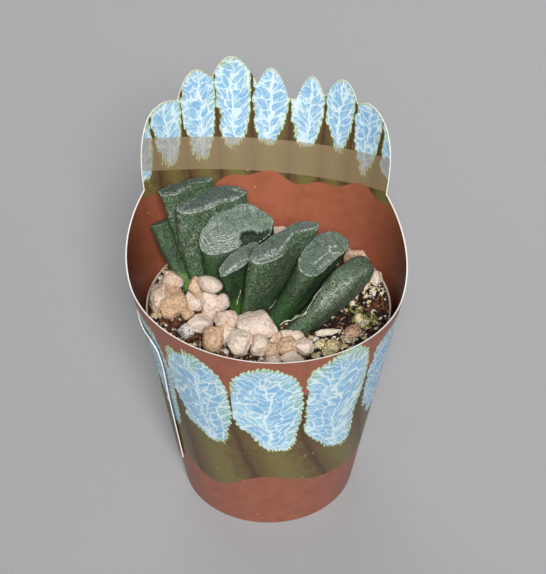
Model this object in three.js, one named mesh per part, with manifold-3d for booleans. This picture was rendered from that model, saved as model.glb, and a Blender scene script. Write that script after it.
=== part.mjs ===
// A small haworthia in a 55 mm nursery pot, standing in a rolled sleeve of printed card.
// Millimetres, +Z up. The origin is the centre of the pot's foot, and the viewer stands at -Y.
import * as THREE from "three";
import { mergeVertices } from "three/addons/utils/BufferGeometryUtils.js";
import Module from "manifold-3d";

const wasm = await Module();
wasm.setup();

// Driving dimensions
const DEG = Math.PI / 180;
const GAP = 0.3; // clearance between pieces that touch
const LEAF_GAP = 1.3 * GAP; // the same round a leaf, whose sides are slightly flattened
const CROWN_GAP = 1.1 * GAP;

const CARD = 0.6; // thickness of the sleeve's card
const SLEEVE_FOOT_R = 20.1; // outer radius of the sleeve where it stands
const SLEEVE_FLARE = 0.1787; // growth of the radius with height
const RIM_Z = 59.4; // height of the sleeve's front edge
const RIM_TILT = 1.7; // the edge is this much higher at the left than at the middle
const SIDE_FROM = 72; // degrees from the front where the edge begins to rise
const SIDE_TO = 124; // degrees from the front where the crest stands on it
const SIDE_RISE = 9.4; // rise of the edge between those two
const CREST_LEFT = 59.6; // degrees from the back to the crest's left side
const CREST_RIGHT = 56.2; // the same to its right side

const POT_FOOT_R = 19.1;
const POT_RIM_R = 27.5;
const POT_Z = 50; // height of the pot
const POT_WALL = 0.8;
const POT_FLOOR = 1.4;
const POT_LIP = 3.2; // height of the thicker rim
const DRAIN_R = 2; // drain holes in the pot's floor
const DRAIN_RING_R = 12.5;
const DRAINS = 6;

const SOIL_Z = 46.9; // mean height of the soil
const SOIL_FOOT = 1.9; // underside of the soil, above the pot's floor

const CROWN = [-2.6, 1.2]; // centre of the crown that carries the leaves
const ROW_TURN = -33; // the fan's row of leaves runs from the left and back to the right and front
const CROWN_HALF_LENGTH = 9;
const CROWN_HALF_WIDTH = 5.5;
const CROWN_Z = [34.5, 42];
const HEEL_Z = 40.4; // lowest part of every leaf, on the crown
const ROOTS = 7;
const ROOT_LENGTH = 22;
const ROOT_R = [1.5, 0.7]; // radius at the crown and at the tip
const ROOT_SPREAD = 5.5; // how far outwards a root goes
const ROOT_WAVE = 1.2; // how far it bends sideways

// The leaves in their row, from the outermost at the left to the outermost at the right.
// tip: middle of the window. base: middle of the leaf at z = 44. turn: direction of the leaf's width,
// in degrees from +X. lean: horizontal part of the window's normal. bend: sideways bow of the leaf.
// foot: width and thickness low down, as shares of those at the tip. dome: rise of the window.
const BASE_Z = 44;
const LEAVES = {
  leaf_1: { tip: [-21.7, 15.3, 62.3], base: [-10.4, 7.4], turn: 36, halfWidth: 6.5, halfDepth: 2.3,
    lean: [-0.25, 0.26], bend: [-0.6, 0.1], foot: [0.74, 0.42], dome: 0.5 },
  leaf_2: { tip: [-18.6, 17.5, 69.8], base: [-10.3, 5.5], turn: 34, halfWidth: 7, halfDepth: 2.1,
    lean: [-0.03, 0.2], bend: [0.4, 0.4], foot: [0.79, 0.4], dome: 0.5 },
  leaf_3: { tip: [-12.7, 13.8, 68.7], base: [-7, 5.2], turn: 40, halfWidth: 9.1, halfDepth: 2.7,
    lean: [0.15, 0.04], bend: [-1.2, -0.4], foot: [0.74, 0.33], dome: 0.6 },
  leaf_4: { tip: [-7.5, 6.4, 66.1], base: [-5.6, 3.6], turn: 27, halfWidth: 8.6, halfDepth: 4.7,
    lean: [-0.02, -0.52], bend: [0.1, 0.2], foot: [0.74, 0.38], dome: 0.7 },
  leaf_5: { tip: [-6.4, -1.1, 63.3], base: [-4.4, 2.2], turn: 52, halfWidth: 6.2, halfDepth: 1.5,
    lean: [0.2, -0.25], bend: [0.4, -0.2], foot: [0.72, 0.65], dome: 0.4 },
  leaf_6: { tip: [3.8, 2.4, 66.3], base: [-2.7, 1.2], turn: 49, halfWidth: 11.3, halfDepth: 2.1,
    lean: [0.27, -0.13], bend: [0.6, -0.4], foot: [0.64, 0.65], dome: 0.5 },
  leaf_7: { tip: [12.2, 3.5, 61.4], base: [0.6, -1.3], turn: 53, halfWidth: 7.2, halfDepth: 3.2,
    lean: [0.22, -0.27], bend: [0.6, -0.3], foot: [0.76, 0.69], dome: 0.6 },
  leaf_8: { tip: [18.4, 1.2, 57.8], base: [5, -4.6], turn: 44, halfWidth: 6.2, halfDepth: 2.7,
    lean: [0.49, -0.19], bend: [1.3, 0], foot: [0.98, 0.83], dome: 2.4 },
};
const BITTEN = "leaf_4";
const BITE = { along: 4.2, across: -4, halfLength: 4.6, halfWidth: 1.9, depth: 1.7 };
const FROM_INSIDE = [5, 4, 6, 3, 7, 2, 8, 1]; // an outer leaf gives way to the ones inside it

// Stones on the soil: place of the middle, then length, width and height, the turn in degrees, and
// the lift of those that lie on other stones.
const FRONT_STONES = [
  [-21.6, 7.6, 5, 5, 4.6, 20],
  [-21.3, 2.6, 6.2, 5.6, 5, 70],
  [-21.7, -1.6, 4.6, 4.4, 4, 0],
  [-24, 2, 3.2, 6.4, 4.2, 8],
  [-17, 4.6, 3.8, 4, 4.2, 30, 1.4],
  [-13.1, 2.9, 6, 4, 4.2, -35, 2.7],
  [-16.6, 0.2, 4.4, 4.2, 4, 15],
  [-13.1, 1.8, 3, 3, 3.2, 50],
  [-15, 2.4, 3, 3.2, 3, 0],
  [-10.3, 0.5, 3.4, 4, 3.6, 75],
  [-12, -2.6, 5.2, 4.8, 4.4, 25],
  [-18.5, -3.2, 3.4, 4.2, 3.6, 60],
  [-14.9, -6.3, 5.8, 4.8, 4.2, 10],
  [-9, -5.3, 5.6, 4.8, 4.4, -20],
  [-12, -11.8, 5.4, 6.4, 4.6, 12],
  [-9.2, -9.5, 5, 4.2, 4, 35],
  [-6.5, -13.6, 5.8, 6.6, 5.2, -25],
  [-2.1, -6.4, 8.8, 6.2, 5.6, 4],
  [-1.9, -13.6, 4.2, 5.4, 4.4, 0],
  [0.8, -15.4, 4, 4.2, 3.6, 40],
  [1.6, -10.6, 3.4, 3.4, 3.2, 0],
  [4.9, -9.7, 5.4, 3.8, 3.6, -12],
  [4.3, -13.3, 4.6, 4.2, 3.8, 20],
  [7.9, -14, 4, 4, 3.6, 60],
  [5.2, -17.4, 5.2, 3.4, 3.2, 6],
  [1, -18.6, 3.4, 3, 2.8, 0],
];
const BACK_STONES = [
  [20.7, 13.4, 7, 4.6, 4.8, -32, 1.8],
  [24.1, 7.4, 3.2, 5, 4.2, 8, 1.6],
  [19.4, 11.4, 4.4, 3.6, 3.4, 20],
  [21.6, 8.4, 4, 4, 3.4, 0],
  [22.6, 5, 3, 3.4, 2.8, 0],
];
const TOUCHING = -0.7; // two stones hold together when their mean radii overlap by this much
const BRIDGE_SIZE = 3.2; // size of the small stones between those that don't touch
const STONE_SEAT = 0.56; // height of a stone's middle above the soil, as a share of its height
const STONE_SWELL = 1.1; // the stones' sizes are measured between their flatter sides
const LONE_STONES = {
  gravel_grey: [-18.5, -9.1, 3.2, 3.2, 3.2, -15],
  gravel_rear: [2.3, 22.3, 4.8, 4.4, 6.6, 30],
};

const BARK_CHIP = [18, -6.8, 4.8, 3.2, 2.6, 50];
const WOOD_SLIVER = [13, -8.7, 6, 1.8, 1.9, 6];

const root = new THREE.Group();

function material(color, roughness) {
  return new THREE.MeshStandardMaterial({ color, roughness, metalness: 0 });
}
const LOOKS = {
  card: material("#a8563f", 0.45),
  pot: material("#d9d5cb", 0.4),
  soil: material("#3d281c", 0.95),
  gravel: material("#d9b39a", 0.9),
  root: material("#c9a878", 0.8),
  leaf: material("#3f6645", 0.5),
  bark: material("#8a5437", 0.9),
  wood: material("#dccfae", 0.85),
};

// A closed surface of merged vertices becomes a solid, and a solid becomes a named mesh.
function solid(positions, indices) {
  const plain = new THREE.BufferGeometry();
  plain.setAttribute("position", new THREE.BufferAttribute(new Float32Array(positions), 3));
  plain.setIndex(indices);
  const merged = mergeVertices(plain, 1e-4);
  const triVerts = new Uint32Array(merged.index.array);
  const vertProperties = merged.attributes.position.array;
  return new wasm.Manifold(new wasm.Mesh({ numProp: 3, vertProperties, triVerts }));
}

function solidOf(geometry, matrix) {
  const bare = geometry.clone();
  bare.deleteAttribute("normal");
  bare.deleteAttribute("uv");
  if (matrix) bare.applyMatrix4(matrix);
  const merged = mergeVertices(bare, 1e-4);
  return solid(merged.attributes.position.array, [...merged.index.array]);
}

function largest(made) {
  return made.decompose().reduce((a, b) => (b.volume() > a.volume() ? b : a));
}

function addMesh(name, made, look) {
  const { numProp, vertProperties, triVerts } = made.getMesh();
  const geometry = new THREE.BufferGeometry();
  const positions = new Float32Array((vertProperties.length / numProp) * 3);
  for (let i = 0; i * numProp < vertProperties.length; i++) {
    positions.set(vertProperties.subarray(i * numProp, i * numProp + 3), i * 3);
  }
  geometry.setAttribute("position", new THREE.BufferAttribute(positions, 3));
  geometry.setIndex(new THREE.BufferAttribute(triVerts, 1));
  geometry.computeVertexNormals();
  const mesh = new THREE.Mesh(geometry, look);
  mesh.name = name;
  root.add(mesh);
}

// A surface of rings, each a closed loop of as many points, capped at both ends by fans.
function loft(rings, startPoint, endPoint) {
  const n = rings[0].length;
  const positions = [...rings.flat(2), ...startPoint, ...endPoint];
  const first = rings.length * n;
  const indices = [];
  for (let k = 0; k + 1 < rings.length; k++) {
    for (let i = 0; i < n; i++) {
      const j = (i + 1) % n;
      const [a, b, c, d] = [k * n + i, k * n + j, (k + 1) * n + i, (k + 1) * n + j];
      indices.push(a, b, d, a, d, c);
    }
  }
  const top = (rings.length - 1) * n;
  for (let i = 0; i < n; i++) {
    const j = (i + 1) % n;
    indices.push(first, j, i, first + 1, top + i, top + j);
  }
  return solid(positions, indices);
}

// Seeded random numbers
function randomFrom(seed) {
  let state = seed;
  return () => {
    state = (state * 1664525 + 1013904223) % 4294967296;
    return state / 4294967296;
  };
}

const smooth = (t) => {
  const u = Math.min(1, Math.max(0, t));
  return u * u * (3 - 2 * u);
};
const mix = (a, b, t) => a + (b - a) * t;

// A point on the sleeve's cone. The angle is from the front, and positive towards +X.
function onCone(angle, radius, z) {
  return [radius * Math.sin(angle * DEG), -radius * Math.cos(angle * DEG), z];
}

// The crest's lobes: angle from the back in degrees, height of the tip, half width in degrees.
const LOBES = [
  [-42, 86.2, 17],
  [-27, 91.0, 9],
  [-13.6, 92.6, 9],
  [0.9, 89.2, 6.5],
  [16.2, 88.0, 6],
  [28.2, 88.8, 8],
  [41, 85.5, 14],
];
const LOBE_DEPTH = 6.5; // drop of a lobe at its half width
const VALLEY_Z = 82; // no notch between two lobes is deeper
const SHOULDERS = {
  left: { start: 44, end: CREST_LEFT, low: 69, high: 85.9, roundness: 0.6 },
  right: { start: 38, end: CREST_RIGHT, low: 67, high: 85.5, roundness: 0.42 },
};

function crestHeight(back) {
  let top = VALLEY_Z;
  for (const [centre, tip, half] of LOBES) {
    top = Math.max(top, tip - LOBE_DEPTH * ((back - centre) / half) ** 2);
  }
  const { start, end, low, high, roundness } = back < 0 ? SHOULDERS.left : SHOULDERS.right;
  const out = (Math.abs(back) - start) / (end - start);
  if (out <= 0) return top;
  return Math.min(top, mix(low, high, Math.max(0, 1 - out * out) ** roundness));
}

function edgeHeight(angle) {
  const away = Math.abs(angle);
  const tilt = -RIM_TILT * Math.sin(angle * DEG);
  const rise = Math.max(0, (Math.min(away, SIDE_TO) - SIDE_FROM) / (SIDE_TO - SIDE_FROM));
  const side = RIM_Z + SIDE_RISE * rise ** 1.35 + tilt;
  const back = angle < 0 ? away - 180 : 180 - away;
  const crestEnd = angle > 0 ? CREST_RIGHT : CREST_LEFT;
  return Math.abs(back) < crestEnd ? Math.max(side, crestHeight(back)) : side;
}

// Angles of the sleeve's columns: wide steps at the front, fine ones across the crest.
function sleeveAngles() {
  const angles = [];
  for (let a = -120; a < 120; a += 6) angles.push(a);
  for (let a = 120; a < 240; a += 1.5) angles.push(a);
  return angles.map((a) => (a > 180 ? a - 360 : a));
}

function makeSleeve() {
  const levels = [0, 0.6, 1]; // shares of the height of the edge
  const rings = [];
  const angles = sleeveAngles();
  const ring = (share, inset) =>
    angles.map((a) => {
      const z = share * edgeHeight(a);
      return onCone(a, SLEEVE_FOOT_R + SLEEVE_FLARE * z - inset, z);
    });
  for (const share of levels) rings.push(ring(share, 0));
  for (const share of [...levels].reverse()) rings.push(ring(share, CARD));
  const n = angles.length;
  const positions = rings.flat(2);
  const indices = [];
  for (let k = 0; k < rings.length; k++) {
    const next = (k + 1) % rings.length;
    for (let i = 0; i < n; i++) {
      const j = (i + 1) % n;
      const [a, b, c, d] = [k * n + i, k * n + j, next * n + i, next * n + j];
      indices.push(a, b, d, a, d, c);
    }
  }
  return solid(positions, indices);
}

// The glued lap: the card's free end lies on the outside at the left and ends in a slanting edge.
const LAP_LOW = 8;
const LAP_HIGH = 53.5;
const LAP_CORNER_Z = 49.5; // the edge's upper corner is rounded from here
const LAP_REACH = 58; // degrees over which the lap blends into the wall
function lapEdge(z) {
  const down = 50 - z;
  const corner = Math.max(0, (z - LAP_CORNER_Z) / (LAP_HIGH - LAP_CORNER_Z));
  return -52.6 - 0.13 * down - 0.006 * down * down - 4.5 * corner ** 3;
}

function makeLap() {
  const rows = 10;
  const columns = 6;
  const point = (i, k, lift) => {
    const z = mix(LAP_LOW, LAP_HIGH, k / rows);
    const angle = lapEdge(z) - (LAP_REACH * i) / columns;
    const height = lift ? CARD * (1 - 0.95 * smooth((i / columns - 0.35) / 0.65)) : -CARD / 2;
    return onCone(angle, SLEEVE_FOOT_R + SLEEVE_FLARE * z + height, z);
  };
  const positions = [];
  const indices = [];
  for (const lift of [true, false]) {
    for (let k = 0; k <= rows; k++) {
      for (let i = 0; i <= columns; i++) positions.push(...point(i, k, lift));
    }
  }
  const at = (side, i, k) => side * (rows + 1) * (columns + 1) + k * (columns + 1) + i;
  const quad = (a, b, c, d) => indices.push(a, b, c, a, c, d);
  for (let k = 0; k < rows; k++) {
    for (let i = 0; i < columns; i++) {
      quad(at(0, i, k), at(0, i, k + 1), at(0, i + 1, k + 1), at(0, i + 1, k));
      quad(at(1, i, k), at(1, i + 1, k), at(1, i + 1, k + 1), at(1, i, k + 1));
    }
    quad(at(0, 0, k), at(1, 0, k), at(1, 0, k + 1), at(0, 0, k + 1));
    quad(at(0, columns, k), at(0, columns, k + 1), at(1, columns, k + 1), at(1, columns, k));
  }
  for (let i = 0; i < columns; i++) {
    quad(at(0, i, 0), at(0, i + 1, 0), at(1, i + 1, 0), at(1, i, 0));
    quad(at(0, i, rows), at(1, i, rows), at(1, i + 1, rows), at(0, i + 1, rows));
  }
  return solid(positions, indices);
}

// The nursery pot: a thin tapering wall with a thicker rim, and a floor with drain holes.
function potWallRadius(z) {
  return mix(POT_FOOT_R, POT_RIM_R - 0.9, z / POT_Z);
}

function makePot() {
  const lipFoot = POT_Z - POT_LIP;
  const inner = (z) => potWallRadius(z) - POT_WALL;
  const profile = [
    [0, 0],
    [POT_FOOT_R - 0.6, 0],
    [POT_FOOT_R, 0.7],
    [potWallRadius(lipFoot), lipFoot],
    [POT_RIM_R, lipFoot + 0.2],
    [POT_RIM_R, POT_Z - 0.3],
    [POT_RIM_R - 0.3, POT_Z],
    [POT_RIM_R - 1.1, POT_Z],
    [inner(lipFoot - 1.5), lipFoot - 1.5],
    [inner(POT_FLOOR), POT_FLOOR],
    [0, POT_FLOOR],
  ];
  const wall = new THREE.LatheGeometry(profile.map(([r, z]) => new THREE.Vector2(r, z)), 40);
  const turn = new THREE.Matrix4().makeRotationX(Math.PI / 2);
  let made = solidOf(wall, turn);
  for (let i = 0; i < DRAINS; i++) {
    const angle = (i / DRAINS) * 2 * Math.PI;
    const drill = new THREE.CylinderGeometry(DRAIN_R, DRAIN_R, 4 * POT_FLOOR, 14);
    const place = new THREE.Matrix4().makeTranslation(
      DRAIN_RING_R * Math.cos(angle), DRAIN_RING_R * Math.sin(angle), 0);
    made = made.subtract(solidOf(drill, place.multiply(turn)));
  }
  return made;
}

// The crown is a flat dome, longer along the row of leaves. The roots leave it below, all round.
function onRow(along, across) {
  const [c, s] = [Math.cos(ROW_TURN * DEG), Math.sin(ROW_TURN * DEG)];
  return [CROWN[0] + along * c - across * s, CROWN[1] + along * s + across * c];
}

function makeCrown(grow) {
  const middle = (CROWN_Z[0] + CROWN_Z[1]) / 2;
  const half = (CROWN_Z[1] - CROWN_Z[0]) / 2 + grow;
  const ball = new THREE.SphereGeometry(1, 16, 8);
  const place = new THREE.Matrix4().compose(
    new THREE.Vector3(CROWN[0], CROWN[1], middle),
    new THREE.Quaternion().setFromAxisAngle(new THREE.Vector3(0, 0, 1), ROW_TURN * DEG),
    new THREE.Vector3(CROWN_HALF_LENGTH + grow, CROWN_HALF_WIDTH + grow, half));
  return solidOf(ball, place.multiply(new THREE.Matrix4().makeRotationX(Math.PI / 2)));
}

function makeRoot(index, grow) {
  const around = ((index + 0.5) / ROOTS) * 2 * Math.PI;
  const [x0, y0] = onRow(0.55 * CROWN_HALF_LENGTH * Math.cos(around), 0.5 * CROWN_HALF_WIDTH * Math.sin(around));
  const sides = 6;
  const steps = 5;
  const rings = [];
  let tipPoint;
  for (let k = 0; k <= steps; k++) {
    const t = k / steps;
    const spread = ROOT_SPREAD * t;
    const wave = ROOT_WAVE * Math.sin(3 * t + index * 1.7);
    const x = x0 + spread * Math.cos(around + ROW_TURN * DEG) - wave * Math.sin(around);
    const y = y0 + spread * Math.sin(around + ROW_TURN * DEG) + wave * Math.cos(around);
    const z = CROWN_Z[0] + 4 - ROOT_LENGTH * t;
    const r = mix(...ROOT_R, t) + grow;
    const ring = [];
    for (let i = sides; i > 0; i--) {
      const a = (i / sides) * 2 * Math.PI;
      ring.push([x + r * Math.cos(a), y + r * Math.sin(a), z]);
    }
    rings.push(ring);
    tipPoint = [x, y, z - 0.6 - grow];
  }
  const first = rings[0];
  const mean = [0, 1, 2].map((axis) => first.reduce((sum, p) => sum + p[axis], 0) / sides);
  return loft(rings, mean, tipPoint);
}

function makePlantFoot(grow) {
  let made = makeCrown(grow);
  for (let i = 0; i < ROOTS; i++) made = made.add(makeRoot(i, grow));
  return made;
}

// A leaf is a stack of rounded sections. They turn from upright to the slant of the window at the tip.
const LEAF_SIDES = 20;
const LEAF_STEPS = [0, 0.2, 0.4, 0.6, 0.8, 0.92, 1];
const ROUNDING = 2.6; // exponent of the section: 2 is an ellipse

function windowAxes({ lean: [nx, ny], turn }) {
  const normal = new THREE.Vector3(nx, ny, Math.sqrt(1 - nx * nx - ny * ny));
  const along = new THREE.Vector3(Math.cos(turn * DEG), Math.sin(turn * DEG), 0);
  const wide = along.clone().addScaledVector(normal, -along.dot(normal)).normalize();
  return { normal, along, wide, deep: normal.clone().cross(wide) };
}

function makeLeaf(shape, grow) {
  const up = new THREE.Vector3(0, 0, 1);
  const tip = new THREE.Vector3(...shape.tip);
  const base = new THREE.Vector3(...shape.base, BASE_Z);
  const bow = new THREE.Vector3(...shape.bend, 0);
  const middle = tip.clone().add(base).multiplyScalar(0.5).addScaledVector(bow, 2);
  const { normal, along, wide: windowWide, deep: windowDeep } = windowAxes(shape);
  const section = (centre, wide, deep, halfWidth, halfDepth) => {
    const ring = [];
    for (let i = 0; i < LEAF_SIDES; i++) {
      const angle = (i / LEAF_SIDES) * 2 * Math.PI;
      const [c, s] = [Math.cos(angle), Math.sin(angle)];
      const u = Math.sign(c) * Math.abs(c) ** (2 / ROUNDING) * (halfWidth + grow);
      const v = Math.sign(s) * Math.abs(s) ** (2 / ROUNDING) * (halfDepth + grow);
      const point = centre.clone().addScaledVector(wide, u).addScaledVector(deep, v);
      ring.push(point.toArray());
    }
    return ring;
  };
  const rings = [];
  const crown = new THREE.Vector3(...CROWN, HEEL_Z - grow);
  const heel = crown.clone().lerp(base, 0.8).setZ(HEEL_Z - grow);
  const [footWide, footDeep] = shape.foot;
  rings.push(section(heel, along, up.clone().cross(along), shape.halfWidth * footWide * 0.7,
    shape.halfDepth * footDeep * 0.7));
  for (const t of LEAF_STEPS) {
    const centre = base.clone().multiplyScalar((1 - t) ** 2)
      .addScaledVector(middle, 2 * t * (1 - t)).addScaledVector(tip, t * t);
    const tangent = middle.clone().sub(base).multiplyScalar(1 - t)
      .addScaledVector(tip.clone().sub(middle), t).normalize();
    const deep = tangent.clone().cross(along).normalize();
    const wide = deep.clone().cross(tangent);
    const slant = Math.max(0, (t - 0.55) / 0.45) ** 2;
    wide.lerp(windowWide, slant);
    deep.lerp(windowDeep, slant);
    const halfWidth = shape.halfWidth * mix(footWide, 1, Math.sin((t * Math.PI) / 2) ** 0.9);
    const halfDepth = shape.halfDepth * mix(footDeep, 1, t);
    rings.push(section(centre, wide, deep, halfWidth, halfDepth));
  }
  for (const [share, rise] of [[0.9, 0.35], [0.62, 0.8]]) {
    const centre = tip.clone().addScaledVector(normal, shape.dome * rise + grow);
    rings.push(section(centre, windowWide, windowDeep, shape.halfWidth * share, shape.halfDepth * share));
  }
  const top = tip.clone().addScaledVector(normal, shape.dome + grow);
  return loft(rings, heel.toArray(), top.toArray());
}

// A snail's bite in the front edge of a window: a long dent along the rim.
function makeBite(shape, { along, across, halfLength, halfWidth, depth }) {
  const { normal, wide, deep } = windowAxes(shape);
  const centre = new THREE.Vector3(...shape.tip).addScaledVector(wide, along).addScaledVector(deep, across);
  const place = new THREE.Matrix4().makeBasis(
    wide.multiplyScalar(halfLength), deep.multiplyScalar(halfWidth), normal.multiplyScalar(depth));
  const ball = new THREE.SphereGeometry(1, 12, 8);
  return solidOf(ball, place.setPosition(centre));
}

// Potting mix: fills the pot up to a slightly uneven surface.
function soilHeight(x, y) {
  const swell = 0.5 * Math.sin(0.31 * x + 1.1) * Math.cos(0.27 * y - 0.4);
  const lumps = 0.35 * Math.sin(0.9 * x + 0.5 * y) * Math.sin(0.8 * y - 0.3 * x + 1);
  return SOIL_Z + swell + lumps;
}

function makeSoil(raise) {
  const sides = 32;
  const wall = (z) => potWallRadius(z) - POT_WALL - GAP;
  const circle = (radius, height) => {
    const ring = [];
    for (let i = 0; i < sides; i++) {
      const angle = (i / sides) * 2 * Math.PI;
      const [x, y] = [radius * Math.cos(angle), radius * Math.sin(angle)];
      ring.push([x, y, height === undefined ? soilHeight(x, y) + raise : height]);
    }
    return ring;
  };
  const rings = [circle(wall(SOIL_FOOT), SOIL_FOOT), circle(wall(SOIL_Z - 2), SOIL_Z - 2)];
  for (const share of [1, 0.8, 0.6, 0.4, 0.2]) rings.push(circle(wall(SOIL_Z) * share));
  return loft(rings, [0, 0, SOIL_FOOT], [0, 0, soilHeight(0, 0) + raise]);
}

// A stone is a ball of few faces, pushed in and out at each corner.
function makeStone([x, y, length, width, height, turn, lift = 0], random, detail = 1) {
  const ball = new THREE.IcosahedronGeometry(1, detail);
  ball.deleteAttribute("normal");
  ball.deleteAttribute("uv");
  const merged = mergeVertices(ball, 1e-3);
  const points = merged.attributes.position;
  for (let i = 0; i < points.count; i++) {
    const swell = mix(0.93, 1.1, random());
    points.setXYZ(i, points.getX(i) * swell, points.getY(i) * swell, points.getZ(i) * swell);
  }
  const tilt = new THREE.Euler(mix(-0.25, 0.25, random()), mix(-0.25, 0.25, random()), turn * DEG);
  const centre = new THREE.Vector3(x, y, soilHeight(x, y) + GAP + STONE_SEAT * height + lift);
  const place = new THREE.Matrix4().compose(centre, new THREE.Quaternion().setFromEuler(tilt),
    new THREE.Vector3(length, width, height).multiplyScalar(STONE_SWELL / 2));
  return solid(merged.applyMatrix4(place).attributes.position.array, [...merged.index.array]);
}

// The room that the stones may fill: inside the pot's wall, and above its rim inside the sleeve.
function makeRoom() {
  const inner = potWallRadius(SOIL_Z) - POT_WALL - GAP;
  const high = SLEEVE_FOOT_R + SLEEVE_FLARE * POT_Z - CARD - GAP;
  const profile = [
    [0, SOIL_Z - 4],
    [inner - 0.7, SOIL_Z - 4],
    [inner + 0.3, POT_Z + GAP],
    [high, POT_Z + GAP + 0.5],
    [high, POT_Z + 12],
    [0, POT_Z + 12],
  ];
  const lathe = new THREE.LatheGeometry(profile.map(([r, z]) => new THREE.Vector2(r, z)), 48);
  return solidOf(lathe, new THREE.Matrix4().makeRotationX(Math.PI / 2));
}

const leafNames = Object.keys(LEAVES);
const grownLeaves = leafNames.map((name) => makeLeaf(LEAVES[name], LEAF_GAP));
const crownHole = makePlantFoot(CROWN_GAP);
const leaves = {};
FROM_INSIDE.forEach((number, order) => {
  const name = leafNames[number - 1];
  let made = makeLeaf(LEAVES[name], 0).subtract(crownHole);
  if (name === BITTEN) made = made.subtract(makeBite(LEAVES[name], BITE));
  for (const inner of FROM_INSIDE.slice(0, order)) made = made.subtract(grownLeaves[inner - 1]);
  leaves[name] = largest(made);
});

let soil = makeSoil(0).subtract(crownHole);
for (const leaf of grownLeaves) soil = soil.subtract(leaf);
soil = largest(soil);

const raisedSoil = makeSoil(GAP);
const room = makeRoom();
function clearOfNeighbours(made) {
  let cut = made.intersect(room).subtract(raisedSoil);
  for (const leaf of grownLeaves) cut = cut.subtract(leaf);
  return largest(cut);
}
// Small stones lie where the heap would fall apart: one between each group and the nearest other.
function bridges(stones) {
  const pairs = [];
  stones.forEach(([x1, y1, l1, w1], i) => {
    stones.forEach(([x2, y2, l2, w2], j) => {
      const apart = Math.hypot(x2 - x1, y2 - y1) - (l1 + w1 + l2 + w2) / 4;
      if (j > i) pairs.push({ i, j, apart, x: (x1 + x2) / 2, y: (y1 + y2) / 2 });
    });
  });
  pairs.sort((a, b) => a.apart - b.apart);
  const group = stones.map((_, i) => i);
  const found = [];
  for (const { i, j, apart, x, y } of pairs) {
    if (group[i] === group[j]) continue;
    const [kept, joined] = [group[i], group[j]];
    group.forEach((g, k) => { if (g === joined) group[k] = kept; });
    if (apart < TOUCHING) continue;
    const size = BRIDGE_SIZE + Math.max(0, apart);
    found.push([x, y, size, size, BRIDGE_SIZE - 0.4, 40 * i]);
  }
  return found;
}
function makeGravel(stones, seed) {
  const random = randomFrom(seed);
  const made = stones.map((stone) => makeStone(stone, random));
  for (const stone of bridges(stones)) made.push(makeStone(stone, random, 0));
  return clearOfNeighbours(made.reduce((a, b) => a.add(b)));
}

addMesh("sleeve", largest(makeSleeve().add(makeLap())), LOOKS.card);
addMesh("grow_pot", makePot(), LOOKS.pot);
addMesh("soil", soil, LOOKS.soil);
addMesh("stem_and_roots", makePlantFoot(0), LOOKS.root);
for (const name of leafNames) addMesh(name, leaves[name], LOOKS.leaf);
addMesh("gravel_front", makeGravel(FRONT_STONES, 11), LOOKS.gravel);
addMesh("gravel_back", makeGravel(BACK_STONES, 12), LOOKS.gravel);
for (const [name, stone] of Object.entries(LONE_STONES)) {
  addMesh(name, makeGravel([stone], 13), LOOKS.gravel);
}
addMesh("bark_chip", makeGravel([BARK_CHIP], 14), LOOKS.bark);
addMesh("wood_sliver", makeGravel([WOOD_SLIVER], 15), LOOKS.wood);

export default root;
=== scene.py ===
"""A small haworthia in a nursery pot, in a rolled sleeve of printed card with a lobed crest.

Lengths are in millimetres until a mesh is made. The origin is the centre of the pot's foot, +Z is
up and the viewer stands at -Y. Angles round the pot count from the front, positive towards +X.
"""

import math
import random

import bmesh
import bpy
import numpy as np
from mathutils import Matrix, Vector
from mathutils.bvhtree import BVHTree


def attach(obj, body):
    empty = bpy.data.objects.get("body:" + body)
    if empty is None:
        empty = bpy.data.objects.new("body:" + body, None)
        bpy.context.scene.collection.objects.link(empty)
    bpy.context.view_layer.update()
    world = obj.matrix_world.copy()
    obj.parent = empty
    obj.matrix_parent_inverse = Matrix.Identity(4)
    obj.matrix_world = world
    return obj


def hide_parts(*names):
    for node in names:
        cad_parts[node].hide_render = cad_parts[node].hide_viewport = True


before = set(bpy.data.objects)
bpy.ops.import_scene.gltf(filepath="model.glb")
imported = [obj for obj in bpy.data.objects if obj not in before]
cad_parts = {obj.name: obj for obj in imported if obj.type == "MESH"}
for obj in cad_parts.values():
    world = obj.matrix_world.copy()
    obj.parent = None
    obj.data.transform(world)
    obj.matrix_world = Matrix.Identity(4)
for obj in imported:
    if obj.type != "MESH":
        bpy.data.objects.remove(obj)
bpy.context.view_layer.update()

MM = 0.001
GAP = 0.3  # clearance between pieces that touch

# The sleeve, as in the part's source
SLEEVE_FOOT_R = 20.1
SLEEVE_FLARE = 0.1787
RIM_Z = 59.4
RIM_TILT = 1.7
SIDE_FROM, SIDE_TO, SIDE_RISE = 72, 124, 9.4  # degrees from the front, and millimetres
LOBES = [(-42, 86.2, 17), (-27, 91.0, 9), (-13.6, 92.6, 9), (0.9, 89.2, 6.5),
         (16.2, 88.0, 6), (28.2, 88.8, 8), (41, 85.5, 14)]  # from the back: angle, tip, half width
LOBE_DEPTH = 6.5
VALLEY_Z = 82
# The crest's left and right end: angles from and to, outer and inner height, roundness
SHOULDERS = {-1: (44, 59.6, 69, 85.9, 0.6), 1: (38, 56.2, 67, 85.5, 0.42)}
CARD = 0.3  # thickness of the card itself

# The pot and what it holds
POT_FOOT_R, POT_RIM_R, POT_Z = 19.1, 27.5, 50
POT_WALL, POT_FLOOR, POT_LIP, LIP_STAND = 0.42, 1.4, 3.2, 0.9
LIP_Z, POT_BORE = POT_Z - POT_LIP, POT_RIM_R - POT_WALL  # the lip's lower edge, radius inside it
DRAIN_R, DRAIN_RING_R, DRAINS = 2, 12.5, 6
SOIL_Z = 46.9
CROWN = (-2.6, 1.2)
BASE_Z, HEEL_Z = 44, 40.4
ROUNDING = 2.6  # exponent of a leaf's section

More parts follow.
